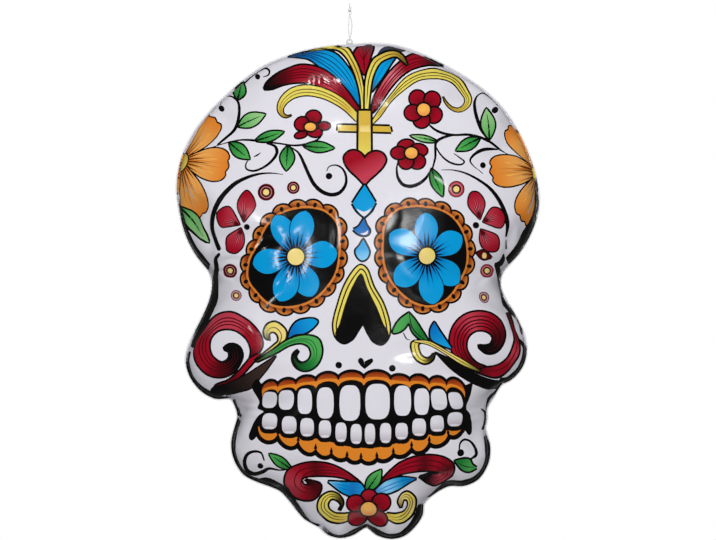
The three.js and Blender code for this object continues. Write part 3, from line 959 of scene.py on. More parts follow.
stem([(-75.5, 162.5), (-66.5, 156), (-60.5, 144.5), (-55, 132), (-48.5, 120), (-39, 111.5), (-29, 108.5),
      (-20, 111), (-13.5, 119.5), (-13, 130), (-17.5, 138.5), (-25.5, 142), (-32.5, 139.5), (-34.5, 135)],
     (1.2, 3.4, 4.0, 4.6, 4.4, 3.2, 2.2, 0.9))
for spot, size in [((-153, 206), 3.1), ((-112.5, 242), 2.9), ((-32, 129.5), 3.7)]:
    disc(spot, size, "black")
leaf((-135.5, 217), (-130, 237), 12, "green")
leaf((-135.5, 187), (-104, 199.5), 15, "sage")
leaf((-114.5, 169.5), (-83, 179.5), 10, "green")
leaf((-144, 167.5), (-121.5, 149), 14, "green")
leaf((-78, 163.5), (-80, 136), 15, "green")
leaf((-60.5, 163.5), (-26.5, 161), 11, "green")

# Vine on the right of the brow
stem([(80, 188), (87, 182), (96, 178), (108.5, 176), (124.5, 176.5), (139.5, 173), (152, 167.5),
      (162, 161), (172.5, 154)],
     (2.2, 3.2, 2.6, 3.0, 3.4, 2.4, 0.6))
stem([(147, 172), (140.5, 181), (135.5, 192.5), (132.5, 205), (132.5, 215), (136, 221.5), (141, 223),
      (147, 219.5), (154, 214), (157.5, 209.5)],
     (3.0, 4.4, 4.0, 3.8, 1.6, 1.2, 1.6))
stem([(107.5, 176), (96, 173), (88.5, 168), (87.5, 160.5), (87.5, 151.5), (85.5, 142.5), (83.5, 136.5)],
     (2.4, 3.4, 2.6, 1.8))
stem([(87.5, 164), (92.5, 155), (100.5, 147), (109.5, 143), (117.5, 143), (120, 146), (116.5, 149),
      (108.5, 155)],
     (1.4, 2.0, 2.4, 1.8, 1.0))
stem([(162, 161), (150.5, 161), (139.5, 159), (130, 153), (126.5, 147), (130, 141.5), (137, 136),
      (141, 132.5)],
     (1.0, 3.6, 4.0, 2.6, 1.0, 0.8))
stem([(46, 148), (44, 138), (45.5, 127.5), (51, 120), (59.5, 118), (69, 121), (76.5, 127), (81.5, 134.5)],
     (1.0, 2.6, 3.8, 4.2, 3.6, 2.4))
for spot, size in [((155, 204.5), 3.4), ((141, 142), 3.3)]:
    disc(spot, size, "black")
leaf((148.5, 171.5), (146, 207), 15, "sage")
leaf((137.5, 172.5), (111, 158.5), 12, "green")
leaf((89.5, 168.5), (59.5, 175), 6, "sage")
leaf((83, 137.5), (95.5, 107), 12, "green")

# Marigolds over the temples, drawn on the flat film so that they run on to the weld
marigold((-197.5, 145.5), 11,
         [((-161.5, 195.5), 42), ((-145.5, 140.5), 38), ((-181, 83), 42)],
         [(150, 48, 32), (210, 48, 32)])
marigold((203.5, 131), 11,
         [((172, 187), 42), ((149.5, 134.5), 37), ((186, 80.5), 40)],
         [(30, 48, 32), (-30, 48, 32)])
leaf((-200, 96), (-169.5, 54.5), 13, "sage")

# Brow lines and their ring dots
stem([(-83.5, 131.5), (-97, 133), (-111, 132), (-124.5, 128), (-137.5, 121.5), (-149.5, 110),
      (-158.5, 96), (-163.5, 81), (-164, 67.5), (-161, 56), (-156.5, 47)],
     (0.6, 2.0, 3.6, 5.0, 5.6, 5.6, 5.2, 4.4))
stem([(94, 136.5), (106.5, 136.5), (120, 133.5), (134.5, 126.5), (148.5, 116.5), (158.5, 104),
      (165.5, 89), (169, 74), (168.5, 61.5)],
     (0.6, 1.6, 2.4, 3.2, 4.2, 4.8, 5.0, 2.6))
stem([(169, 57), (169.5, 47)], (1.6, 2.2))
ring_dots = [
    ((-102.5, 111.5), 9.6, "wine"), ((-72, 116.5), 7.2, "wine"), ((-144.5, 23), 8.0, "wine"),
    ((-138, -4.5), 6.2, "blush"), ((111, 115), 9.4, "rose"), ((147, 23), 7.6, "rose"),
    ((144.5, -6.5), 6.4, "blush"),
]
for spot, size, tone in ring_dots:
    ring_dot(spot, size, tone)
patch([(133.5, 43.5), (133.5, 43.5), (144, 46), (153, 37), (153, 37), (141.5, 36)], "wine", line=1.4)
disc((144, 40), 3.2, "cream")

# Crimson sprigs of three petals beside the eyes
sprig((-124.5, 72.5), 3.4,
      [[(-127.5, 78.5), (-134, 94.5), (-132.5, 104), (-124, 113), (-115, 97)],
       [(-132.5, 75.5), (-145, 95), (-157, 88), (-153.5, 73.5), (-146, 73.5)],
       [(-131.5, 71), (-148, 60), (-147, 46.5), (-138, 43.5), (-130, 50.5), (-129, 61.5)]])
sprig((133, 74.5), 3.7,
      [[(137.5, 81.5), (125, 97), (127.5, 110.5), (134.5, 111.5), (142.5, 100.5)],
       [(141, 78.5), (152, 94), (160.5, 92), (165, 83.5), (161.5, 72.5)],
       [(138.5, 70), (138.5, 56), (146, 46), (158, 46.5), (158, 61.5)]])

# Eyes: scalloped rings round black sockets with a blue flower in each
eye([(-21, 55), (-24, 76), (-35.5, 88.5), (-54.5, 93.5), (-72.5, 91.5), (-89, 85), (-103, 70.5),
     (-112, 52.5), (-121.5, 33), (-122.5, 14), (-111, -2.5), (-94.5, -14.5), (-72.5, -16), (-50.5, -8.5),
     (-34, 7), (-24.5, 23.5)],
    19, (-69, 39), 9.4,
    [(-92, 85.5), (-58, 90.5), (-22.5, 43), (-50.5, -5.5), (-87, -11), (-118, 31)],
    [25.5, 26.5, 30, 28, 28.5, 28])
eye([(122.5, 47.5), (118, 65.5), (107.5, 81.5), (93.5, 90.5), (76.5, 94), (59.5, 94.5), (44, 90),
     (32.5, 77), (29.5, 56), (30, 36), (35.5, 17.5), (46.5, 2), (62, -10.5), (80.5, -15.5), (97.5, -9),
     (111.5, 6.5), (121, 24.5)],
    18, (78, 40), 9.2,
    [(76.5, 88.5), (117, 63), (115.5, 9.5), (85, -14.5), (42.5, 8), (36, 65)],
    [26, 27, 27, 27.5, 28, 28.5])

# Nose with a yellow double line
patch([(4, 29.5), (-1, 27), (-13, 9.5), (-21.5, -13.5), (-27, -38.5), (-23.5, -52), (-15.5, -57.5),
       (-6.5, -53.5), (0, -44), (6.5, -34), (6.5, -34), (12, -46.5), (18, -55.5), (26.5, -59),
       (33.5, -53), (36, -40.5), (29, -14.5), (17.5, 6), (10, 25.5)],
      "yellow", line=2.0)
patch([(4, 24.5), (1.5, 22.5), (-9, 7), (-17.5, -15), (-23, -38.5), (-21, -48.5), (-15.5, -57.5),
       (-6.5, -53.5), (0, -44), (6.5, -34), (6.5, -34), (12, -46.5), (18, -55.5), (26.5, -59),
       (31.5, -51), (32, -40.5), (25.5, -16), (14, 4.5), (7.5, 22)],
      "yellow", line=1.5)
patch([(4, 20.5), (-5.5, 6.5), (-14, -14.5), (-20.5, -37), (-25, -47), (-22, -55.5), (-14.5, -59.5),
       (-6.5, -55.5), (0, -46), (6.5, -34), (6.5, -34), (12, -48), (18, -57.5), (27, -61), (34.5, -54.5),
       (34.5, -45), (29.5, -37), (21.5, -17), (11.5, 3)],
      "black", line=0)

# Left cheek: contour strip, crimson scroll and dark hollow under the cheekbone
# The light middle of the crimson scroll is partly print and partly painted highlight.
ribbon([(-113, -71.5), (-107, -60), (-109.5, -49.5), (-117, -39), (-128, -30), (-142.5, -24),
        (-157.5, -25.5), (-170, -34), (-179, -48.5), (-184, -65.5), (-181.5, -79.5), (-174.5, -89),
        (-165.5, -95), (-154, -96.5), (-142.5, -92.5), (-133.5, -82.5), (-129.5, -72.5), (-132, -64),
        (-138, -60), (-145.5, -60.5), (-150, -64.5)],
       [(-120.5, -76), (-119, -67), (-121.5, -57.5), (-128, -49), (-138, -43), (-148.5, -42), (-158, -45),
        (-165, -53), (-167, -62.5), (-165, -71.5), (-159, -78), (-152, -80.5), (-145.5, -77),
        (-143.5, -72), (-144.5, -67.5), (-149.5, -65)],
       "wine crimson crimson rose rose rose crimson crimson crimson wine black black black",
       stripes=[(0.3, 1.4, "wine"), (0.5, 1.4, "wine"), (0.7, 1.3, "wine")])
ribbon([(-120, -75), (-133.5, -90.5), (-146, -101), (-159.5, -106.5), (-163, -111)],
       [(-108.5, -69), (-120, -82.5), (-133.5, -96.5), (-146, -105.5), (-161, -112.5)],
       "crimson crimson wine wine")
patch([(-91.5, -72.5), (-91.5, -72.5), (-108.5, -83.5), (-130, -97), (-152, -107.5), (-152, -107.5),
       (-149.5, -117), (-149.5, -117), (-133.5, -113.5), (-120, -108.5), (-109.5, -96.5), (-102, -87.5)],
      fade("umber", "black", (-108.5, -85), (-149.5, -112.5)), line=1.6)

# Right cheek: crimson scroll, its tail and the dark hollow under it
# The light parts of these crimson scrolls are partly print and partly painted highlight.
ribbon([(134.5, -90.5), (116.5, -81), (106.5, -67), (104, -53), (108.5, -38.5), (119, -27.5),
        (133.5, -23), (149.5, -25.5), (161, -34.5), (165.5, -47.5), (163, -60), (155, -68), (145, -69),
        (136.5, -62.5)],
       [(146, -86), (132.5, -80), (123.5, -69), (121.5, -59), (125, -49.5), (132.5, -44), (141.5, -43.5),
        (149, -47), (152.5, -53), (149.5, -59.5), (144, -61.5), (136, -61)],
       "wine wine crimson crimson rose crimson wine black black",
       stripes=[(0.22, 1.4, "wine"), (0.42, 1.5, "black"), (0.6, 1.4, "wine"), (0.78, 1.4, "black")])
ribbon([(134.5, -90.5), (146, -95), (156.5, -97), (166.5, -93), (175.5, -82.5), (182, -69), (182, -55.5),
        (179, -42), (172.5, -23.5)],
       [(146, -86), (153, -85.5), (162, -82), (170, -75), (176, -63.5), (178.5, -53), (177, -40.5),
        (171.5, -24)],
       "wine crimson crimson rose crimson crimson wine",
       stripes=[(0.5, 1.2, "wine")])
patch([(87, -68), (87, -68), (105, -76.5), (123.5, -87.5), (141.5, -97.5), (157.5, -101.5), (165.5, -100),
       (165.5, -100), (161, -109), (150.5, -110.5), (137, -106.5), (121, -98), (104, -85.5)],
      "black", line=1.2)

# Curls and leaves beside the nose
patch([(-77.5, -52), (-77.5, -52), (-74.5, -42), (-68, -34), (-58.5, -31), (-48.5, -31), (-45, -33.5),
       (-50.5, -41), (-59.5, -46.5), (-70, -48)],
      fade("deep_blue", "blue", (-72, -46.5), (-51.5, -34)))
ribbon([(-99, -54.5), (-103.5, -51), (-104.5, -44), (-100.5, -37), (-93, -34.5), (-86, -38), (-80.5, -45),
        (-82, -54.5), (-92.5, -64.5), (-114.5, -78)],
       [(-99.5, -52.5), (-100, -48.5), (-97, -45), (-92.5, -45.5), (-89, -49.5), (-88.5, -55.5),
        (-94, -61), (-102, -67.5), (-115.5, -78.5)],
       "black yellow cream yellow gold olive",
       stripes=[(0.45, 1.1, "olive")])
ribbon([(-113, -78), (-94, -65.5), (-81.5, -56.5), (-69, -51), (-55, -49.5), (-44, -53.5), (-40, -65.5),
        (-43, -78), (-50.5, -86), (-59.5, -88.5), (-68, -85), (-72.5, -77), (-71.5, -70), (-67, -66)],
       [(-112.5, -78.5), (-91.5, -68.5), (-76.5, -60), (-63, -57.5), (-54.5, -61.5), (-51.5, -70),
        (-55, -77.5), (-62, -80.5), (-67.5, -77.5), (-69.5, -72.5), (-66.5, -67)],
       "olive deep_green green green green green deep_green black black",
       stripes=[(0.4, 1.3, "deep_green"), (0.66, 1.2, "deep_green")])
patch([(57.5, -24), (57.5, -24), (48.5, -30.5), (42.5, -38.5), (40, -46), (47, -45), (53, -40.5),
       (57.5, -35), (62, -45), (71, -53.5), (80, -56.5), (80, -56.5), (71, -42), (64, -31.5)],
      fade("green", "deep_green", (46, -39.5), (71, -48.5)))
stem([(58, -24.5), (61, -39.5), (69, -49.5), (79, -56)], (0.6, 1.4, 1.2, 0.5))
stem([(51.5, -46.5), (55, -53), (59, -54.5)], (1.2, 1.4, 0.6))
patch([(86, -34.5), (86, -34.5), (82, -43), (83, -53), (94, -60), (105.5, -64), (105.5, -64),
       (100.5, -56.5), (92.5, -45)],
      fade("deep_blue", "blue", (84.5, -39.5), (100.5, -60)))
ribbon([(69, -55.5), (61.5, -57.5), (61.5, -66), (66.5, -76), (75.5, -80.5), (83.5, -77), (86, -71)],
       [(72, -56), (68, -59), (68, -64.5), (71.5, -72.5), (78, -75.5), (82.5, -73.5), (85.5, -70)],
       "gold yellow yellow yellow olive black",
       stripes=[(0.5, 1.0, "olive")])
ribbon([(64, -55), (80, -56), (100.5, -67), (119, -77.5), (139.5, -90)],
       [(64, -56), (80, -59.5), (98.5, -70), (116.5, -81.5), (138, -91)],
       "cream yellow cream yellow olive",
       stripes=[(0.5, 1.0, "olive")],
       line=1.3)

# Heart and dots over the teeth
disc((-21, -82.5), 3.8, "black")
disc((39, -86), 3.8, "black")
patch([(8, -81.5), (8, -78.5), (12.5, -76), (16.5, -75), (17.5, -78), (13.5, -82.5), (8, -87), (8, -87),
       (3, -82.5), (0.5, -77.5), (3, -74), (6.5, -76)],
      "black", line=0)

# Mouth: black opening, orange gums and white teeth
patch([(-107.5, -104), (-60, -99), (-8, -95), (22, -95), (70, -98), (118, -106), (131, -102.5),
       (131, -102.5), (127.5, -117), (123.5, -131.5), (129, -139), (132.5, -159), (129, -162.5),
       (121, -154.5), (100, -158), (60, -168), (30, -176), (4, -178), (-20, -175), (-50, -168),
       (-90, -160), (-112, -156), (-115, -165), (-120, -168.5), (-123.5, -164.5), (-120, -151),
       (-113, -140), (-108, -136), (-114.5, -132.5), (-112.5, -125), (-119.5, -107), (-113, -98.5)],
      "black", line=0)
upper_gum = [
    (-108, -112), (-99, -101.5), (-89.5, -107.5), (-79, -99), (-69, -104.5), (-58, -96), (-46.5, -101.5),
    (-34, -92), (-21.5, -99.5), (-7.5, -90.5), (7, -98.5), (22, -90), (37, -99.5), (48, -94.5),
    (58.5, -101.5), (69.5, -95), (80.5, -104.5), (90.5, -97), (100, -106), (110.5, -99.5), (121, -113),
]
GUM_AT_VALLEY = 6.8
GUM_AT_TOP = 8.6
gum_foot = [(x, z - (GUM_AT_TOP if point % 2 else GUM_AT_VALLEY)) for point, (x, z) in enumerate(upper_gum)]
gums(upper_gum, np.vstack(scallops(gum_foot)), line=3.4, dark=5.6)
lower_gum = [
    (-113.6, -153.1), (-99.8, -167.3), (-89.1, -157.7), (-76.4, -173.3), (-66.5, -165.6), (-54.8, -180.1),
    (-47, -174.4), (-37.2, -184.1), (-29.3, -178.3), (-19.6, -187), (-11.7, -182.2), (-3.9, -190),
    (4, -184.2), (11.8, -190.9), (21.7, -183.2), (29.4, -187.9), (40.2, -178.3), (48.1, -183),
    (60.8, -171.5), (68.7, -179.2), (80.5, -165.6), (90.3, -171.3), (102, -157.7), (111.9, -161.5),
    (121.7, -151),
]
lower_gum_top = [
    (-112, -152.6), (-90.4, -159.5), (-66.5, -163.8), (-43, -165.7), (-27.4, -169.7), (-11.9, -173.7),
    (11.9, -175.9), (25.6, -174.8), (37, -172.5), (49.1, -168.8), (60.8, -165.7), (74.5, -161.9),
    (90.4, -158.9), (101.8, -156), (120.6, -150.5),
]
gums(lower_gum, open_curve(lower_gum_top, step=3.0), line=5.0)
for x, z in lower_gum[2:-1:2]:
    stem([(x, z - 2), (x, z + 1), (x, z + 3)], (4.0, 2.4, 0.8))
upper_teeth = [
    ((-100, -122.5), 17, 19, 12), ((-80.5, -122), 17.6, 22.5, 6), ((-59, -123), 16.5, 28.5, 0),
    ((-36, -125), 18.8, 35, 0), ((-8.5, -125), 23.3, 40, 0), ((22.5, -123.5), 27.3, 40, 0),
    ((50.5, -122.5), 18.8, 34, 0), ((72, -123.5), 17, 29.5, 0), ((91.5, -121.5), 17.6, 24, -6),
    ((110.5, -123), 15.3, 19.5, -14),
]
for spot, wide, tall, lean in upper_teeth:
    tooth(spot, wide, tall, "white", lean)
lower_teeth = [
    ((-99.5, -146.5), 18.2, 17.5), ((-76.5, -150), 16.5, 20), ((-56.5, -152.5), 15.3, 21),
    ((-36.5, -154.5), 13.6, 20), ((-18.5, -158), 12.5, 22), ((-1.5, -160), 12.5, 22.7),
    ((14, -160), 11.6, 23.3), ((31.5, -159), 12.7, 22.7), ((49.5, -157), 13.9, 18.8),
    ((69, -152.5), 15.3, 20), ((89.5, -148.5), 16.1, 18), ((111, -144.5), 17.6, 16.5),
]
BACKING_DROP = 2.6
BACKING_EXTRA_WIDTH = 6
BACKING_EXTRA_HEIGHT = 4.6
TOOTH_GLINT_RISE = 1.9
TOOTH_GLINT_HALF_HEIGHT = 1.2
for (x, z), wide, tall in lower_teeth:
    low = z - tall / 2
    tooth((x, z - BACKING_DROP), wide + BACKING_EXTRA_WIDTH, tall + BACKING_EXTRA_HEIGHT, "black")
    tooth((x, z), wide, tall, fade("white", "tooth", (x, z + tall * 0.1), (x, low)))
    ink(oval((x, low + TOOTH_GLINT_RISE), wide * 0.34, TOOTH_GLINT_HALF_HEIGHT), "white")

# Jaw: ring scrolls, leaves and crimson scrolls
stem([(-105, -190.5), (-108.5, -182), (-116.5, -180.5), (-124.5, -184.5), (-127.5, -193),
      (-124.5, -202.5), (-116.5, -206.5), (-107.5, -204), (-99.5, -200), (-88, -202), (-76.5, -201)],
     (1.6, 2.8, 3.8, 4.8, 5.0, 4.0, 2.0, 1.6))
disc((-109.5, -197), 3.4, "black")
stem([(113.5, -179.5), (115.5, -171.5), (122, -167.5), (130, -169.5), (134.5, -177), (133.5, -185),
      (127, -188.5)],
     (1.6, 2.2, 2.6, 3.4, 4.0, 2.0))
disc((115.5, -181.5), 4.0, "black")
leaf((-75, -201), (-99, -183), 10, "deep_green")
patch([(109.5, -190.5), (109.5, -190.5), (119, -188.5), (125.5, -189.5), (129, -195.5), (134, -199),
       (134, -199), (125.5, -203), (118, -200.5)],
      fade("deep_green", "green", (114.5, -192), (128, -201)))
stem([(112, -192.5), (121, -197), (131.5, -198.5)], (0.5, 1.0, 0.5))
# The light parts of these crimson scrolls are partly print and partly painted highlight.
ribbon([(2.5, -214.5), (-14, -202.5), (-32.5, -194), (-50.5, -192.5), (-67.5, -196.5), (-78.5, -203),
        (-82, -213.5), (-80, -225), (-73.5, -234), (-62, -237.5), (-50.5, -234.5), (-42.5, -226),
        (-41.5, -216.5), (-57, -212.5)],
       [(1, -215.5), (-16.5, -209), (-33.5, -206.5), (-49.5, -206.5), (-59.5, -208.5), (-64, -213),
        (-61.5, -218.5), (-55.5, -219.5), (-55.5, -215.5), (-57.5, -213)],
       "wine crimson crimson wine crimson rose crimson wine black",
       stripes=[(0.3, 1.2, "wine"), (0.55, 1.3, "wine"), (0.78, 1.1, "wine")])
ribbon([(26.5, -212.5), (37, -201.5), (48.5, -192.5), (65.5, -186), (83.5, -184.5), (99, -188),
        (107.5, -195.5), (106.5, -206.5), (99, -215.5), (89.5, -220.5), (80, -217), (70.5, -209.5)],
       [(28, -213), (40.5, -208.5), (53, -204.5), (71, -201.5), (86, -202), (92.5, -204), (89.5, -207),
        (82.5, -205.5), (71, -209)],
       "wine crimson crimson crimson wine crimson wine rose black black",
       stripes=[(0.3, 1.3, "wine"), (0.6, 1.2, "wine")])
ribbon([(-32, -213.5), (-14, -214.5), (3, -216), (7.5, -221.5)],
       [(-32, -214), (-16.5, -226.5), (-1.5, -230.5), (7.5, -225)],
       "blue_pale blue deep_blue blue",
       stripes=[(0.35, 1.0, "deep_blue"), (0.65, 1.0, "deep_blue")])
ribbon([(17.5, -226), (31.5, -213.5), (48.5, -210), (66, -212)],
       [(19, -227), (32.5, -227), (53, -220.5), (66, -212.5)],
       "deep_blue blue_pale blue deep_blue",
       stripes=[(0.4, 1.0, "deep_blue"), (0.7, 1.0, "deep_blue")])
leaf((9.5, -225), (26.5, -200), 13, "deep_green")

# Chin: flower between two yellow curls
ribbon([(-5, -249.5), (-16.5, -250.5), (-26.5, -250), (-32.5, -245.5), (-33.5, -238.5), (-29.5, -233.5),
        (-23.5, -234.5), (-18, -240), (-20.5, -246)],
       [(-5, -254.5), (-13, -258.5), (-23.5, -260.5), (-34.5, -259), (-42, -251), (-44, -241),
        (-40, -231), (-30.5, -226), (-21.5, -229.5), (-16.5, -237.5), (-20, -246)],
       "yellow gold yellow yellow yellow olive black",
       stripes=[(0.35, 1.1, "olive"), (0.68, 1.1, "olive")])
ribbon([(32.5, -249.5), (44, -250.5), (54, -248.5), (58.5, -242), (57, -236), (52.5, -235), (49, -243)],
       [(34.5, -255.5), (44, -260), (54, -259.5), (63.5, -253.5), (68, -243), (65.5, -233.5), (58, -228),
        (50, -230), (46, -237), (48.5, -243)],
       "gold yellow yellow cream yellow cream olive",
       stripes=[(0.35, 1.1, "olive"), (0.68, 1.1, "olive")])
flower((12.5, -245.5),
       [(13, -231.5, 8.6, 8.4, 0), (26.5, -237, 9.6, 9.2, 0), (22.5, -256.5, 10.4, 9.4, -25),
        (0, -256, 9.6, 10.0, 20), (-2, -238.5, 9.2, 8.8, 0)],
       (8.8, 8.8))

# Black contour along the edge of the face
stem([(-202.5, 117.5), (-200.5, 94.5), (-196.5, 75.5), (-191, 60), (-182.5, 44.5), (-170.5, 28)],
     (2.0, 4.2, 6.6, 9.6, 10.4))
stem([(-156.5, 42), (-160.5, 36.5), (-159.5, 26.5), (-161.5, 16), (-162, 2.5), (-164.5, -10),
      (-172.5, -28), (-181.5, -45), (-188, -62.5)],
     (3.8, 5.5, 7.0, 8.2, 8.0, 6.0, 5.0, 4.6))
stem([(-191, -69), (-192.5, -81.5), (-189.5, -95), (-181.5, -107), (-171, -115), (-157.5, -120.5),
      (-144, -120)],
     (3.8, 5.0, 6.2, 8.2, 8.8, 4.5, 1.8))
patch([(-165.5, -109.5), (-158.5, -106.5), (-149.5, -105.5), (-147, -113.5), (-156.5, -119.5),
       (-167.5, -117)],
      "black", line=0)
stem([(-141, -123.5), (-138, -131.5), (-135, -142)], (2.5, 3.8, 5.2))
stem([(-135.5, -146.5), (-139.5, -158), (-141, -172.5), (-139.5, -186), (-133.5, -199.5), (-124.5, -209),
      (-111, -215.5), (-97, -219), (-86, -226), (-74.5, -239), (-63, -253.5), (-53, -263), (-44, -266.5)],
     (4.6, 5.4, 5.8, 5.2, 5.6, 9.0, 7.6, 6.0, 5.4, 4.6))
patch([(-113, -213.5), (-104, -210.5), (-92.5, -213.5), (-82.5, -222.5), (-89.5, -224.5), (-102, -219.5)],
      "black", line=0)
stem([(-38.5, -269), (-30, -276), (-17.5, -278.5), (-4, -274), (9, -267.5)], (3.4, 6.4, 6.6, 5.4, 3.6))
stem([(9, -267.5), (21, -274), (37, -278.5), (50.5, -275.5), (62.5, -266), (70.5, -253.5), (73, -243)],
     (3.6, 6.6, 9.4, 10.0, 8.8, 4.0))
stem([(80, -234), (94, -225.5), (105, -219), (119, -219), (132.5, -215), (142.5, -205), (148, -190.5),
      (148, -176), (145, -164.5)],
     (1.8, 5.0, 8.2, 11.6, 10.6, 9.0, 8.2, 3.2))
stem([(142, -156.5), (144.5, -147.5), (144, -137.5), (141, -133.5)], (2.2, 3.2, 2.8, 1.8))
stem([(145.5, -134), (149, -123.5), (156.5, -115.5), (161.5, -107.5), (162.5, -101)],
     (2.2, 2.2, 2.5, 4.2))
stem([(162, -101), (171, -100), (181.5, -91), (188.5, -76), (189.5, -63.5), (183.5, -55)],
     (6.4, 7.4, 7.0, 6.4, 3.4))
stem([(187, -48.5), (184, -35), (174.5, -21.5), (166, -10), (162.5, 3.5), (161, 16), (158, 30)],
     (1.8, 4.2, 3.0, 3.2, 3.2, 5.5, 6.2))
stem([(156.5, 28.5), (162, 31), (165.5, 36.5), (166, 41)], (5.0, 6.2, 5.8, 2.5))
stem([(203.5, 129), (203.5, 98), (198.5, 76.5), (190.5, 59.5), (180, 44.5), (172.5, 34.5)],
     (1.8, 3.6, 6.2, 9.0, 10.0, 9.6))

# Film mesh
# The flat film is cut into triangles along every printed edge, so that each ink ends on a sharp line.
# The back film is cut from the same net, with a hole punched for the valve.
NET_SPACING = 3.6
NET_CLEARANCE = 0.45
NET_MERGE = 1e-4
HOLE_STEPS = 48
HOLE_GAP = 0.3
collar_low, collar_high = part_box("valve_collar")
hole_radius = (collar_high.x - collar_low.x) / MM / 2 + HOLE_GAP
rim = lay_flat(weld)
hole = oval((0, 0), hole_radius, hole_radius, count=HOLE_STEPS)


def within(points, outline):
    """Which points lie inside an outline."""
    x, z = points[:, :1], points[:, 1:]
    a, b = outline, np.roll(outline, -1, axis=0)
    left_of = (b[:, 0] - a[:, 0]) * (z - a[:, 1]) - (x - a[:, 0]) * (b[:, 1] - a[:, 1])
    rising = (a[:, 1] <= z) & (b[:, 1] > z) & (left_of > 0)
    falling = (a[:, 1] > z) & (b[:, 1] <= z) & (left_of < 0)
    return rising.sum(1) != falling.sum(1)


def triangle_net(outlines, spacing):
    """Triangles of the flat film that keep every outline as edges, the first of which is its rim."""
    points = np.vstack(outlines)
    edges = []
    first = 0
    for outline in outlines:
        count = len(outline)
        edges += [(first + i, first + (i + 1) % count) for i in range(count)]
        first += count
    tree = point_tree(points)
    low, high = outlines[0].min(0), outlines[0].max(0)
    rows = np.arange(low[1], high[1], spacing * math.sqrt(0.75))
    columns = np.arange(low[0], high[0], spacing)
    grid = np.array([(x + (row % 2) * spacing / 2, z) for row, z in enumerate(rows) for x in columns])
    grid = grid[np.hypot(*grid.T) < film_edge(angle_of(grid)) - spacing / 2]
    clear = [tree.find((x, z, 0))[2] > spacing * NET_CLEARANCE for x, z in grid]
    every = [Vector(point) for point in np.vstack([points, grid[clear]])]
    places, _, faces, *_ = delaunay_2d_cdt(every, edges, [], 0, NET_MERGE)
    places = np.array(places)
    faces = np.array(faces)
    faces = faces[within(places[faces].mean(1), outlines[0])]
    a, b, c = (places[faces[:, side]] for side in range(3))
    turn = (b[:, 0] - a[:, 0]) * (c[:, 1] - a[:, 1]) - (b[:, 1] - a[:, 1]) * (c[:, 0] - a[:, 0])
    faces[turn < 0] = faces[turn < 0][:, ::-1]
    used, faces = np.unique(faces, return_inverse=True)
    return places[used], faces.reshape(-1, 3)


def edge_loops(faces):
    """Closed loops of the edges that only one triangle has, the longest first."""
    sides = np.vstack([faces[:, [0, 1]], faces[:, [1, 2]], faces[:, [2, 0]]])
    pairs = {tuple(side) for side in sides.tolist()}
    after = {a: b for a, b in pairs if (b, a) not in pairs}
    loops = []
    while after:
        start, step = after.popitem()
        loop = [start]
        while step != start:
            loop.append(step)
            step = after.pop(step)
        loops.append(loop)
    return sorted(loops, key=len, reverse=True)


def topmost_ink(points):
    """Number of the last shape printed over each point of the flat film, or -1."""
    top = np.full(len(points), -1)
    for layer, (outline, _, _) in enumerate(prints):
        near = np.nonzero(((points >= outline.min(0)) & (points <= outline.max(0))).all(1))[0]
        top[near[within(points[near], outline)]] = layer
    return top


def printed_colours(layers, flat, seen, bare):
    """Colours of points under the given shapes, by their places on the flat film or seen from the front."""
    colours = np.ones((len(layers), 4))
    colours[:, :3] = INKS[bare]
    for layer in np.unique(layers[layers >= 0]):
        inked = np.nonzero(layers == layer)[0]
        _, tint, on_flat = prints[layer]
        colours[inked, :3] = tint((flat if on_flat else seen)[inked])
    return colours


net_points, net_faces = triangle_net([rim, hole] + [outline for outline, _, _ in prints], NET_SPACING)
net_centres = net_points[net_faces].mean(1)
net_corners = net_faces.ravel()
corner_ink = np.repeat(topmost_ink(net_centres), 3)
net_colours = printed_colours(
    corner_ink, net_points[net_corners], blow_up(net_points)[net_corners], "white").reshape(-1, 3, 4)

# Puckers and creases
# Blown up between its welds, the film is too long at the notches and along the edge, and it puckers there.
# A slack copy is blown up as cloth that is held at the weld, and what stands out of its swell is kept.
# The film was also packed flat and folded, which leaves creases.
SLACK_SPACING = 6.0
SLACK = 0.05
SLACK_FRAMES = 20
BLOWING_PRESSURE = 8.0
SWELL_ROUNDS = 16
PUCKER_SHARE = 1.5
PUCKER_CAP = 4.2
PUCKER_SOURCES = 10
PUCKER_BLUR = 0.8
EDGE_HOLD = 9.0
FORM_SPACING = 2.2
FORM_SOURCES = 8
FORM_BLUR = 0.7


def on_dome(points, loop, rise):
    """Places on the blown-up film of points of the flat film, whose edge loop lies on the weld."""
    front_view = blow_up(points)
    angle = angle_of(front_view[loop])
    front_view[loop] = from_middle(weld_radius(angle), angle)
    height = rise(front_view)
    height[loop] = 0
    return np.stack([front_view[:, 0], -height - flange_face, front_view[:, 1]], axis=1)


def surface_normals(places, faces):
    """Outward directions at the points of a mesh."""
    a, b, c = (places[faces[:, side]] for side in range(3))
    square = np.cross(b - a, c - a)
    normals = np.zeros_like(places)
    for side in range(3):
        np.add.at(normals, faces[:, side], square)
    return normals / np.linalg.norm(normals, axis=1)[:, None]


def spread_out(values, faces, rounds):
    """Values averaged with those of their neighbours, some rounds over."""
    ends = np.concatenate([faces.ravel(), np.roll(faces, -1, axis=1).ravel()])
    others = np.concatenate([np.roll(faces, -1, axis=1).ravel(), faces.ravel()])
    count = np.bincount(ends)
    for _ in range(rounds):
        values = np.bincount(ends, values[others]) / count
    return values


def passed_on(sources, targets, count, reach):
    """Nearest sources of each target and their weights, which fall off over a reach."""
    tree = point_tree(sources)
    found = [tree.find_n((x, z, 0), count) for x, z in targets]
    index = np.array([[hit[1] for hit in hits] for hits in found])
    weight = np.exp(-(np.array([[hit[2] for hit in hits] for hits in found]) / reach) ** 2)
    return index, weight / weight.sum(1, keepdims=True)


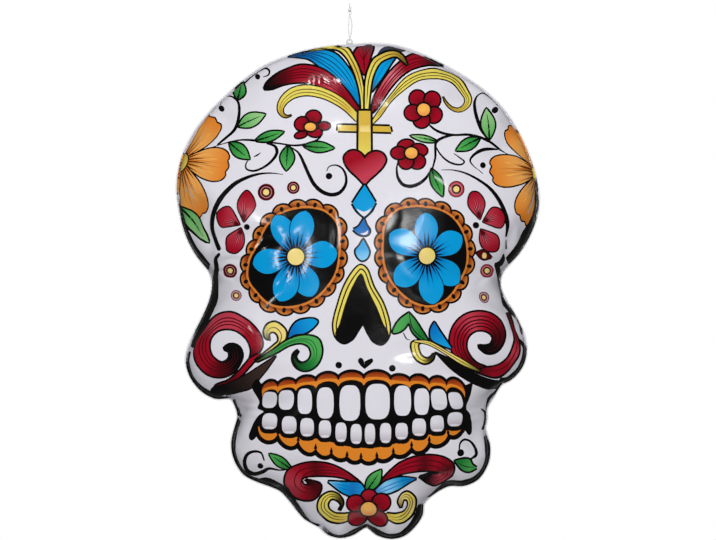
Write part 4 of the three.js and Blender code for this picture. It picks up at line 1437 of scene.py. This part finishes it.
def new_piece(name, points, edges, faces, *finish):
    """New piece from a mesh in metres."""
    mesh = bpy.data.meshes.new(name)
    mesh.from_pydata(points, edges, faces)
    for made in finish:
        mesh.materials.append(made)
    piece = bpy.data.objects.new(name, mesh)
    scene.collection.objects.link(piece)
    return piece


def blown_puckers(points, faces):
    """Heights by which a slack film stands out of its swell after it is blown up as cloth."""
    loop = edge_loops(faces)[0]
    smooth = on_dome(points, loop, film_rise)
    slack_film = new_piece("slack_film", (smooth * MM).tolist(), [], faces.tolist())
    slack_film.vertex_groups.new(name="weld").add([int(index) for index in loop], 1.0, "REPLACE")
    cloth = slack_film.modifiers.new("blowing_up", "CLOTH")
    cloth.settings.use_pressure = True
    cloth.settings.uniform_pressure_force = BLOWING_PRESSURE
    cloth.settings.shrink_min = -SLACK
    cloth.settings.vertex_group_mass = "weld"
    cloth.settings.effector_weights.gravity = 0
    cloth.point_cache.frame_end = SLACK_FRAMES
    for step in range(1, SLACK_FRAMES + 1):
        scene.frame_set(step)
    blown = slack_film.evaluated_get(bpy.context.evaluated_depsgraph_get())
    places = np.array([vertex.co for vertex in blown.data.vertices]) / MM
    scene.frame_set(1)
    bpy.data.objects.remove(slack_film)
    moved = ((places - smooth) * surface_normals(smooth, faces)).sum(1)
    stands_out = spread_out(moved, faces, 1) - spread_out(moved, faces, SWELL_ROUNDS)
    return np.clip(PUCKER_SHARE * stands_out, -PUCKER_CAP, PUCKER_CAP)


# Fold creases seen from the front: route, depth and width
CREASES = [
    ([(-164, 26), (-166.5, 47), (-169, 70), (-168, 98)], 2.0, 4.5),
    ([(164, 28), (170, 47), (174.5, 64), (179, 79)], 2.0, 4.5),
    ([(162, 29), (148, 40), (132, 55)], 2.7, 2.6),
    ([(163, 24), (150, 19), (138, 9)], 1.7, 2.4),
    ([(-162, 30), (-146, 36), (-128, 34)], 2.1, 2.6),
    ([(-163, 26), (-150, 21), (-137, 11)], 1.8, 2.4),
    ([(-162, 37), (-150, 51), (-144, 66)], 1.3, 2.4),
    ([(-118, 44), (-104, 58)], 1.3, 2.2),
    ([(-110, 40), (-96, 56)], 1.0, 2.0),
    ([(-49.5, 244), (-48.5, 226)], 1.0, 2.4),
    ([(-39, 243), (-36, 224)], 1.0, 2.4),
    ([(-26, 240), (-23, 222)], 0.9, 2.4),
    ([(-132, -38), (-124, -33), (-116, -44)], 1.1, 2.6),
    ([(-141, -134), (-128, -134.5), (-112, -136)], 2.3, 2.8),
    ([(-139, -124), (-126, -127), (-113, -126)], 1.6, 2.4),
    ([(-136, -142), (-124, -141), (-112, -146)], 1.4, 2.4),
    ([(59, -102), (80, -107), (101, -113.5), (112, -123), (122, -137)], 2.0, 2.2),
    ([(68, -131), (90, -132), (112, -134), (140, -137)], 2.2, 3.0),
    ([(124, -128), (134, -132), (144, -131)], 1.8, 2.4),
    ([(128, -144), (136, -140), (145, -141)], 1.5, 2.4),
    ([(38, 186), (54, 182), (70, 177)], 1.0, 3.0),
    ([(2, -217), (22, -217)], 1.0, 2.0),
    ([(-120, -200), (-100, -201), (-80, -203)], 1.0, 2.6),
    ([(84, -206), (97, -200), (110, -196)], 1.4, 2.4),
    ([(-48, -45.2), (-30, -45.4)], 0.8, 1.8),
    ([(36, 108), (44, 90), (40, 70)], 0.8, 5.0),
    ([(-30, 92), (-24, 70), (-26, 44)], 0.8, 5.0),
    ([(60, 138), (92, 122), (118, 96)], 0.7, 4.0),
    ([(-94, 214), (-84, 196), (-82, 178)], 0.8, 3.4),
    ([(-150, 176), (-138, 182), (-128, 196)], 0.7, 3.0),
    ([(52, 16), (66, -4), (90, -12)], 0.6, 2.6),
    ([(100, 2), (110, 12), (104, 4)], 0.8, 1.8),
    ([(-100, -4), (-88, 8), (-80, 24)], 1.0, 2.2),
    ([(-112, 4), (-98, 16), (-90, 30)], 0.8, 2.0),
]
CREASE_STEPS = 40
CREASE_REACH = 6
CREASE_ENDS = (0.02, 0.98)
BANK_HEIGHT = 0.45
BANK_WIDTH = 2.4


def pressed_creases(points):
    """Heights of the fold creases, as furrows between low banks, at points seen from the front."""
    heights = np.zeros(len(points))
    for route, depth, width in CREASES:
        track = evenly(open_curve(route), CREASE_STEPS)
        low, high = track.min(0) - CREASE_REACH * width, track.max(0) + CREASE_REACH * width
        near = np.nonzero(((points > low) & (points < high)).all(1))[0]
        away = np.linalg.norm(points[near][:, None] - track[None], axis=2)
        place = away.argmin(1) / (len(track) - 1)
        fade_out = np.sqrt(np.sin(math.pi * np.clip(place, *CREASE_ENDS)))
        away = away.min(1) / width
        section = BANK_HEIGHT * np.exp(-(away / BANK_WIDTH) ** 2) - np.exp(-away ** 2)
        heights[near] += depth * fade_out * section
    return heights


form_points, form_faces = triangle_net([rim], FORM_SPACING)
form_loop = edge_loops(form_faces)[0]
form_to_edge = film_edge(angle_of(form_points)) - np.hypot(*form_points.T)
edge_hold = np.clip(form_to_edge / EDGE_HOLD, 0, 1)
puckers = np.zeros(len(form_points))
slack_points, slack_faces = triangle_net([rim], SLACK_SPACING)
index, weight = passed_on(slack_points, form_points, PUCKER_SOURCES, SLACK_SPACING * PUCKER_BLUR)
puckers = (blown_puckers(slack_points, slack_faces)[index] * weight).sum(1)
front_heights = edge_hold * (puckers + pressed_creases(blow_up(form_points)))

printed_vinyl = soft_plastic("printed_vinyl", ripple_scale=26, grain_scale=700, smooth=0.1, dull=0.2,
                             depth=0.6 * MM, IOR=1.46, Coat_Weight=0.3, Coat_Roughness=0.04, Coat_IOR=1.5)
vinyl = printed_vinyl.node_tree
ink_layer = vinyl.nodes.new("ShaderNodeVertexColor")
ink_layer.layer_name = "ink"
vinyl.links.new(ink_layer.outputs["Color"], vinyl.nodes["Principled BSDF"].inputs["Base Color"])


def in_place(points):
    """Points in millimetres from the skull's middle, moved to their place in metres."""
    return ((points + np.array([middle_mm[0], 0, middle_mm[1]])) * MM).tolist()


def lay_ink(piece, colours):
    """Gives each corner of a piece's faces its printed colour."""
    attribute = piece.data.color_attributes.new("ink", "FLOAT_COLOR", "CORNER")
    attribute.data.foreach_set("color", colours.astype(np.float32).ravel())


def film_piece(name, front, rise, heights, hole_cut):
    """One film as a thin closed shell: printed outer face, plain inner face and the walls at its edges."""
    shown = np.hypot(*net_centres.T) > hole_cut
    used, faces = np.unique(net_faces[shown], return_inverse=True)
    faces = faces.reshape(-1, 3)
    flat = net_points[used]
    loops = edge_loops(faces)
    form = on_dome(form_points, form_loop, rise)
    square = surface_normals(form, form_faces)
    turned = surface_normals(form + square * heights[:, None], form_faces)
    index, weight = passed_on(form_points, flat, FORM_SOURCES, FORM_SPACING * FORM_BLUR)
    lift = ((square * heights[:, None])[index] * weight[:, :, None]).sum(1)
    lift[loops[0]] = 0
    normals = (turned[index] * weight[:, :, None]).sum(1)
    normals /= np.linalg.norm(normals, axis=1)[:, None]
    outer = on_dome(flat, loops[0], rise) + lift
    thickness = normals.copy()
    thickness[loops[0]] = (0, -1, 0)
    count = len(outer)
    walls = []
    for loop in loops:
        for a, b in zip(loop, loop[1:] + loop[:1]):
            walls += [(b, a, count + a), (b, count + a, count + b)]
    every_face = np.vstack([faces, faces[:, ::-1] + count, np.array(walls)])
    places = np.vstack([outer, outer - FILM * thickness])
    normals = np.vstack([normals, -normals])
    colours = net_colours[shown]
    if not front:
        places[:, 1] *= -1
        normals[:, 1] *= -1
        every_face = every_face[:, ::-1]
        colours = colours[:, ::-1]
    bare = np.ones((len(every_face) - len(faces), 3, 4))
    bare[:, :, :3] = INKS["white"]
    piece = new_piece(name, in_place(places), [], every_face.tolist(), printed_vinyl)
    lay_ink(piece, np.vstack([colours, bare]))
    piece.data.shade_smooth()
    piece.data.normals_split_custom_set_from_vertices(normals.tolist())
    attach(piece, "skull")
    return piece


front_film = film_piece("front_film", front=True, rise=film_rise, heights=front_heights, hole_cut=0)
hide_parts("front_panel")

# Back film
# The same white film and print, turned over, with a punched hole and a flat round pad for the air valve.
# It puckers as the front does, but not on the pad, which the valve's ring holds flat.
PAD_MARGIN = 2.0
PAD_BLEND = 40.0
pad_radius = (valve_high.x - valve_low.x) / MM / 2 + PAD_MARGIN


def pad_share(points):
    """How far a point is from the flat pad, from nought on it to one where the film is free of it."""
    share = np.clip((np.hypot(*points.T) - pad_radius) / PAD_BLEND, 0, 1)
    return share * share * (3 - 2 * share)


def padded_rise(points):
    """Height of the back film, which is flat round the valve."""
    share = pad_share(points)
    pad_rise = film_rise(np.zeros((1, 2)))[0]
    return pad_rise * (1 - share) + film_rise(points) * share


back_heights = edge_hold * puckers * pad_share(form_points)
back_film = film_piece(
    "back_film", front=False, rise=padded_rise, heights=back_heights, hole_cut=hole_radius)
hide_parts("back_panel")

# Weld flange
# Both films end in a flat border, 3 mm wide, where they are welded into one strip that is printed too.
# Only its outer edge, where the hot tool squeezed the vinyl out into a thin bead, is clear.
FLANGE_WIDTH = 3.0
FLANGE_OVERLAP = 0.2
FLANGE_HALF = 0.5
CLEAR_EDGE = 1.4
CLEAR_OVERLAP = 0.1
BEAD_HALF = 0.42
BEAD_LIP = 0.2
BEAD_ROUND = 0.3
FLANGE_STEP = 1.0
FLANGE_BANDS = 4
FLANGE_WAVES = ((0.25, 7.3, 0), (0.2, 17.9, 1))
closed_weld = np.vstack([weld, weld[0]])
flange_places = np.arange(0, walked(closed_weld)[-1], FLANGE_STEP)
flange_line = points_at(closed_weld, flange_places)
outward = -sideways(flange_line, closed=True)
waviness = sum(height * np.sin(flange_places / length + shift) for height, length, shift in FLANGE_WAVES)


def flange_strip(name, section, finish, is_printed):
    """Closed ring with a section of reach out of the weld and depth, which takes up the print or not."""
    count = len(flange_line)
    rings = [flange_line + outward * reach for reach, _ in section]
    points = np.vstack([
        np.stack([ring[:, 0], depth + waviness * min(max(reach, 0), 1), ring[:, 1]], axis=1)
        for ring, (reach, depth) in zip(rings, section)])
    faces = []
    for band in range(len(section)):
        here, onward = band * count, (band + 1) % len(section) * count
        faces += [(here + step, onward + step, onward + (step + 1) % count, here + (step + 1) % count)
                  for step in range(count)]
    piece = new_piece(name, in_place(points), [], faces, finish)
    if is_printed:
        around = np.vstack(rings)
        flat = lay_flat(around)
        lay_ink(piece, printed_colours(topmost_ink(flat), flat, around, "weld")[np.array(faces).ravel()])
    shaping = bmesh.new()
    shaping.from_mesh(piece.data)
    bmesh.ops.recalc_face_normals(shaping, faces=shaping.faces)
    shaping.to_mesh(piece.data)
    shaping.free()
    piece.data.shade_smooth()
    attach(piece, "skull")


printed_reach = np.linspace(-FLANGE_OVERLAP, FLANGE_WIDTH - CLEAR_EDGE, FLANGE_BANDS)
printed_section = [(reach, -FLANGE_HALF) for reach in printed_reach]
printed_section += [(reach, FLANGE_HALF) for reach in printed_reach[::-1]]
# Where the strip bears no print it takes that greyer white: painted shade where the film turns at its edge.
flange_strip("weld_flange", printed_section, printed_vinyl, is_printed=True)
clear_bead = soft_plastic("clear_bead", ripple_scale=30, grain_scale=500, smooth=0.08, dull=0.16,
                          depth=0.1 * MM, Base_Color=(0.72, 0.73, 0.75, 1), Alpha=0.24, IOR=1.5)
bead_start = FLANGE_WIDTH - CLEAR_EDGE - CLEAR_OVERLAP
bead_back = [(bead_start, BEAD_HALF), (FLANGE_WIDTH - BEAD_ROUND, BEAD_HALF), (FLANGE_WIDTH, BEAD_LIP)]
bead_section = [(reach, -depth) for reach, depth in bead_back] + bead_back[::-1]
flange_strip("flange_bead", bead_section, clear_bead, is_printed=False)

# Air valve
# One soft satin PVC moulding on the back: ring, folding collar, mouthpiece stem, stopper and strap.
# The ring is welded under the film round its hole. The stem is pushed in, so only the stopper shows.
# Sections are given as radius and height over the pad.
SPIN_STEPS = 64
BEVEL_STEPS = 3
SHARP_ANGLE = math.radians(35)
MERGE_DISTANCE = 0.01 * MM
RING_DEPTH = 0.4
COLLAR_DEPTH = 12.7
STRAP_HALF_WIDTH = 1.5
valve_axis = Vector((middle.x, valve_high.y + RING_DEPTH * MM, middle.z))
valve_vinyl = soft_plastic("valve_vinyl", ripple_scale=180, grain_scale=3000, smooth=0.32, dull=0.5,
                           depth=0.06 * MM, Base_Color=(0.78, 0.79, 0.81, 1), IOR=1.5,
                           Subsurface_Weight=0.15, Subsurface_Scale=2 * MM)


def valve_piece(name, points, edges, faces):
    """New piece in millimetres round the valve's axis: across, out of the pad, and up."""
    placed = [valve_axis + Vector(point) * MM for point in points]
    piece = new_piece(name, placed, edges, faces, valve_vinyl)
    select_alone(piece)
    return piece


def softened(piece, width):
    """Bevels a piece's sharp edges and shades it smooth."""
    bpy.ops.object.modifier_add(type="BEVEL")
    bevel = piece.modifiers[-1]
    bevel.width = width * MM
    bevel.segments = BEVEL_STEPS
    bevel.limit_method = "ANGLE"
    bpy.ops.object.modifier_apply(modifier=bevel.name)
    bpy.ops.object.shade_smooth_by_angle(angle=SHARP_ANGLE)
    return piece


def spun(name, section, bevel_width):
    """Round piece from a closed section, spun round the valve's axis."""
    count = len(section)
    piece = valve_piece(name, [(radius, height, 0) for radius, height in section],
                        [(i, (i + 1) % count) for i in range(count)], [])
    bpy.ops.object.mode_set(mode="EDIT")
    bpy.ops.mesh.select_all(action="SELECT")
    bpy.ops.mesh.spin(steps=SPIN_STEPS, angle=2 * math.pi, center=valve_axis, axis=(0, 1, 0))
    bpy.ops.mesh.select_all(action="SELECT")
    bpy.ops.mesh.remove_doubles(threshold=MERGE_DISTANCE)
    bpy.ops.mesh.dissolve_degenerate(threshold=MERGE_DISTANCE)
    bpy.ops.mesh.normals_make_consistent(inside=False)
    bpy.ops.object.mode_set(mode="OBJECT")
    return softened(piece, bevel_width)


valve_ring = spun("valve_ring", [
    (9.0, -1.2), (15.0, -1.2), (15.0, -0.4), (14.0, -0.4), (13.6, -0.55), (13.2, -0.4), (12.2, -0.4),
    (11.8, -0.55), (11.4, -0.4), (10.4, -0.4), (10.0, -0.55), (9.6, -0.4), (9.0, -0.4),
], bevel_width=0.08)
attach(valve_ring, "skull")
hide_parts("valve_flange")
collar = spun("collar", [
    (5.3, -COLLAR_DEPTH), (5.9, -COLLAR_DEPTH), (6.15, -11.2), (6.9, -7.8), (7.9, -4.4), (8.55, -1.6),
    (8.7, -RING_DEPTH), (8.1, -RING_DEPTH), (7.95, -1.6), (7.3, -4.4), (6.3, -7.8), (5.55, -11.2),
], bevel_width=0.12)
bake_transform(collar)
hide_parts("valve_collar")
stem_tube = spun("stem_tube", [
    (3.2, -13.7), (5.0, -13.7), (5.0, -2.0), (5.8, -2.0), (5.8, -0.7), (3.2, -0.7),
], bevel_width=0.22)
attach(stem_tube, "stem")
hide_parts("valve_stem")
stopper = spun("stopper", [
    (0, -7.7), (2.4, -7.7), (2.62, -5.0), (2.66, -4.6), (2.74, -4.2), (2.9, -0.4), (5.8, -0.4), (5.8, 0.9),
    (5.2, 1.2), (2.6, 1.2), (2.0, 0.85), (0, 0.85),
], bevel_width=0.14)
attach(stopper, "plug")
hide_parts("valve_plug")
flap = spun("flap", [
    (0, -14.5), (3.6, -14.5), (4.4, -14.4), (4.4, -14.0), (3.4, -14.0), (3.1, -14.15), (0, -14.15),
], bevel_width=0.08)
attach(flap, "flap")
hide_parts("valve_flap")
strap_section = [
    (5.3, -3.0), (7.1, -3.0), (7.1, 1.2), (6.1, 1.2), (6.1, 0.5), (6.4, 0.5), (6.4, -2.3), (5.3, -2.3),
]
strap_count = len(strap_section)
strap_ends = [list(range(strap_count)), list(range(2 * strap_count - 1, strap_count - 1, -1))]
strap_sides = [(i, i + strap_count, (i + 1) % strap_count + strap_count, (i + 1) % strap_count)
               for i in range(strap_count)]
strap_points = [(x, y, z) for z in (-STRAP_HALF_WIDTH, STRAP_HALF_WIDTH) for x, y in strap_section]
strap = valve_piece("strap", strap_points, [], strap_ends + strap_sides)
bpy.ops.object.mode_set(mode="EDIT")
bpy.ops.mesh.select_all(action="SELECT")
bpy.ops.mesh.normals_make_consistent(inside=False)
bpy.ops.object.mode_set(mode="OBJECT")
softened(strap, width=0.2)
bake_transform(strap)
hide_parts("valve_strap")

# Floor and light
# A pale round floor well under the chin, whose rim fades out, and a white surround that the camera sees.
# Soft boxes light the skull from the left, the right, above, below and behind.
FLOOR_DROP = 2.2
FLOOR_RADIUS = 1.1
FLOOR_SIDES = 96
FLOOR_RIM = 0.6
FLOOR_GLOW = 0.75


def worked_out(tree, operation, first, second):
    """Output of a Math node on a socket and another socket or a number."""
    node = tree.nodes.new("ShaderNodeMath")
    node.operation = operation
    tree.links.new(first, node.inputs[0])
    if isinstance(second, bpy.types.NodeSocket):
        tree.links.new(second, node.inputs[1])
    else:
        node.inputs[1].default_value = second
    return node.outputs[0]


def mixed(tree, share, first, second):
    """Output of a Mix Shader node, which is the second shader where the share is one."""
    node = tree.nodes.new("ShaderNodeMixShader")
    for socket, value in zip(node.inputs, (share, first, second)):
        tree.links.new(value, socket)
    return node.outputs[0]


def pale_floor():
    """White plastic that the camera sees nearly lit, and that fades out towards the floor's rim."""
    made = soft_plastic("pale_floor", ripple_scale=4, grain_scale=60, smooth=0.6, dull=0.8, depth=0.3 * MM,
                        Base_Color=(0.86, 0.86, 0.87, 1))
    tree = made.node_tree
    camera_ray = tree.nodes.new("ShaderNodeLightPath").outputs["Is Camera Ray"]
    glow = tree.nodes.new("ShaderNodeEmission").outputs[0]
    clear = tree.nodes.new("ShaderNodeBsdfTransparent").outputs[0]
    place = tree.nodes.new("ShaderNodeTexCoord")
    across = tree.nodes.new("ShaderNodeMapping")
    across.inputs["Scale"].default_value = (1 / FLOOR_RADIUS, 1 / FLOOR_RADIUS, 1)
    inward = tree.nodes.new("ShaderNodeTexGradient")
    inward.gradient_type = "SPHERICAL"
    solid = tree.nodes.new("ShaderNodeMapRange")
    solid.inputs["From Max"].default_value = FLOOR_RIM
    tree.links.new(place.outputs["Object"], across.inputs["Vector"])
    tree.links.new(across.outputs[0], inward.inputs["Vector"])
    tree.links.new(inward.outputs["Fac"], solid.inputs["Value"])
    shader = tree.nodes["Principled BSDF"].outputs[0]
    lit = mixed(tree, worked_out(tree, "MULTIPLY", camera_ray, FLOOR_GLOW), shader, glow)
    shown = mixed(tree, solid.outputs["Result"], clear, lit)
    tree.links.new(shown, tree.nodes["Material Output"].inputs["Surface"])
    return made


bpy.ops.mesh.primitive_circle_add(
    vertices=FLOOR_SIDES, radius=FLOOR_RADIUS, fill_type="NGON",
    location=(middle.x, 0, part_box("front_panel")[0].z - FLOOR_DROP))
floor = bpy.context.object
floor.name = "floor"
floor.data.materials.append(pale_floor())

# Soft boxes: place from the skull's middle, width and height, watts, and whether the gloss shows them
SOFT_BOXES = [
    ("top_lamp", (-0.62, -2.55, 2.3), (0.35, 0.3), 26, False),
    ("top_lamp", (0.66, -2.55, 2.3), (0.35, 0.3), 26, False),
    ("plume_lamp", (-0.81, -1.9, 3.2), (0.09, 0.22), 5, True),
    ("plume_lamp", (-0.6, -1.9, 3.03), (0.09, 0.22), 5, True),
    ("right_box", (0.79, -3.5, 0.2), (0.75, 0.46), 15, True),
    ("low_lamp", (0, -2.2, -1.9), (0.8, 0.6), 15, False),
    ("nose_lamp", (0.1, -3.57, 0.24), (0.14, 0.2), 0.35, True),
    ("crease_lamp", (-0.3, -3.0, 1.7), (0.12, 0.12), 1.4, True),
    ("crease_lamp", (0.45, -2.7, 2.2), (0.12, 0.12), 1.4, True),
    ("left_lamp", (-0.87, -3.48, 0.23), (0.26, 0.46), 5, True),
    ("side_lamp", (-1.95, -3.04, -0.14), (0.26, 0.42), 5, True),
    ("back_lamp", (-0.95, 3.2, 0.7), (0.4, 0.5), 36, False),
    ("back_lamp", (0.95, 3.2, 0.7), (0.4, 0.5), 36, False),
]
skull_middle = Vector((middle.x, 0, middle.z))
for name, (x, y, z), size, watts, gleams in SOFT_BOXES:
    place = Vector((middle.x + x, y, middle.z + z))
    bpy.ops.object.light_add(type="AREA", location=place)
    lamp = bpy.context.object
    lamp.name = name
    lamp.data.shape = "RECTANGLE"
    lamp.data.size, lamp.data.size_y = size
    lamp.data.energy = watts
    lamp.visible_glossy = gleams
    lamp.rotation_euler = (skull_middle - place).to_track_quat("-Z", "Y").to_euler()

# Surround: the camera sees it white, the gloss sees it white behind the skull and dim elsewhere
FILL = (0.28, 0.28, 0.2856, 1)
MIRRORED_ROOM = (0.04, 0.04, 0.04, 1)
WHITE = (1, 1, 1, 1)
BACKDROP_COSINE = 0.97
scene.world = bpy.data.worlds.new("white_surround")
scene.world.use_nodes = True
surround = scene.world.node_tree
path = surround.nodes.new("ShaderNodeLightPath")
direction = surround.nodes.new("ShaderNodeTexCoord")
parts = surround.nodes.new("ShaderNodeSeparateXYZ")
surround.links.new(direction.outputs["Generated"], parts.inputs[0])


def background(node, colour):
    """Output of a Background node of one colour."""
    node.inputs["Color"].default_value = colour
    return node.outputs[0]


fill = background(surround.nodes["Background"], FILL)
room = background(surround.nodes.new("ShaderNodeBackground"), MIRRORED_ROOM)
white = background(surround.nodes.new("ShaderNodeBackground"), WHITE)
camera_ray = path.outputs["Is Camera Ray"]
glossy_ray = path.outputs["Is Glossy Ray"]
straight = worked_out(surround, "MAXIMUM", camera_ray, path.outputs["Is Transmission Ray"])
behind = worked_out(surround, "GREATER_THAN", parts.outputs["Y"], BACKDROP_COSINE)
mirrored_backdrop = worked_out(surround, "MULTIPLY", behind, glossy_ray)
shown_white = worked_out(surround, "MAXIMUM", straight, mirrored_backdrop)
dim_or_fill = mixed(surround, glossy_ray, fill, room)
everywhere = mixed(surround, shown_white, dim_or_fill, white)
surround.links.new(everywhere, surround.nodes["World Output"].inputs["Surface"])
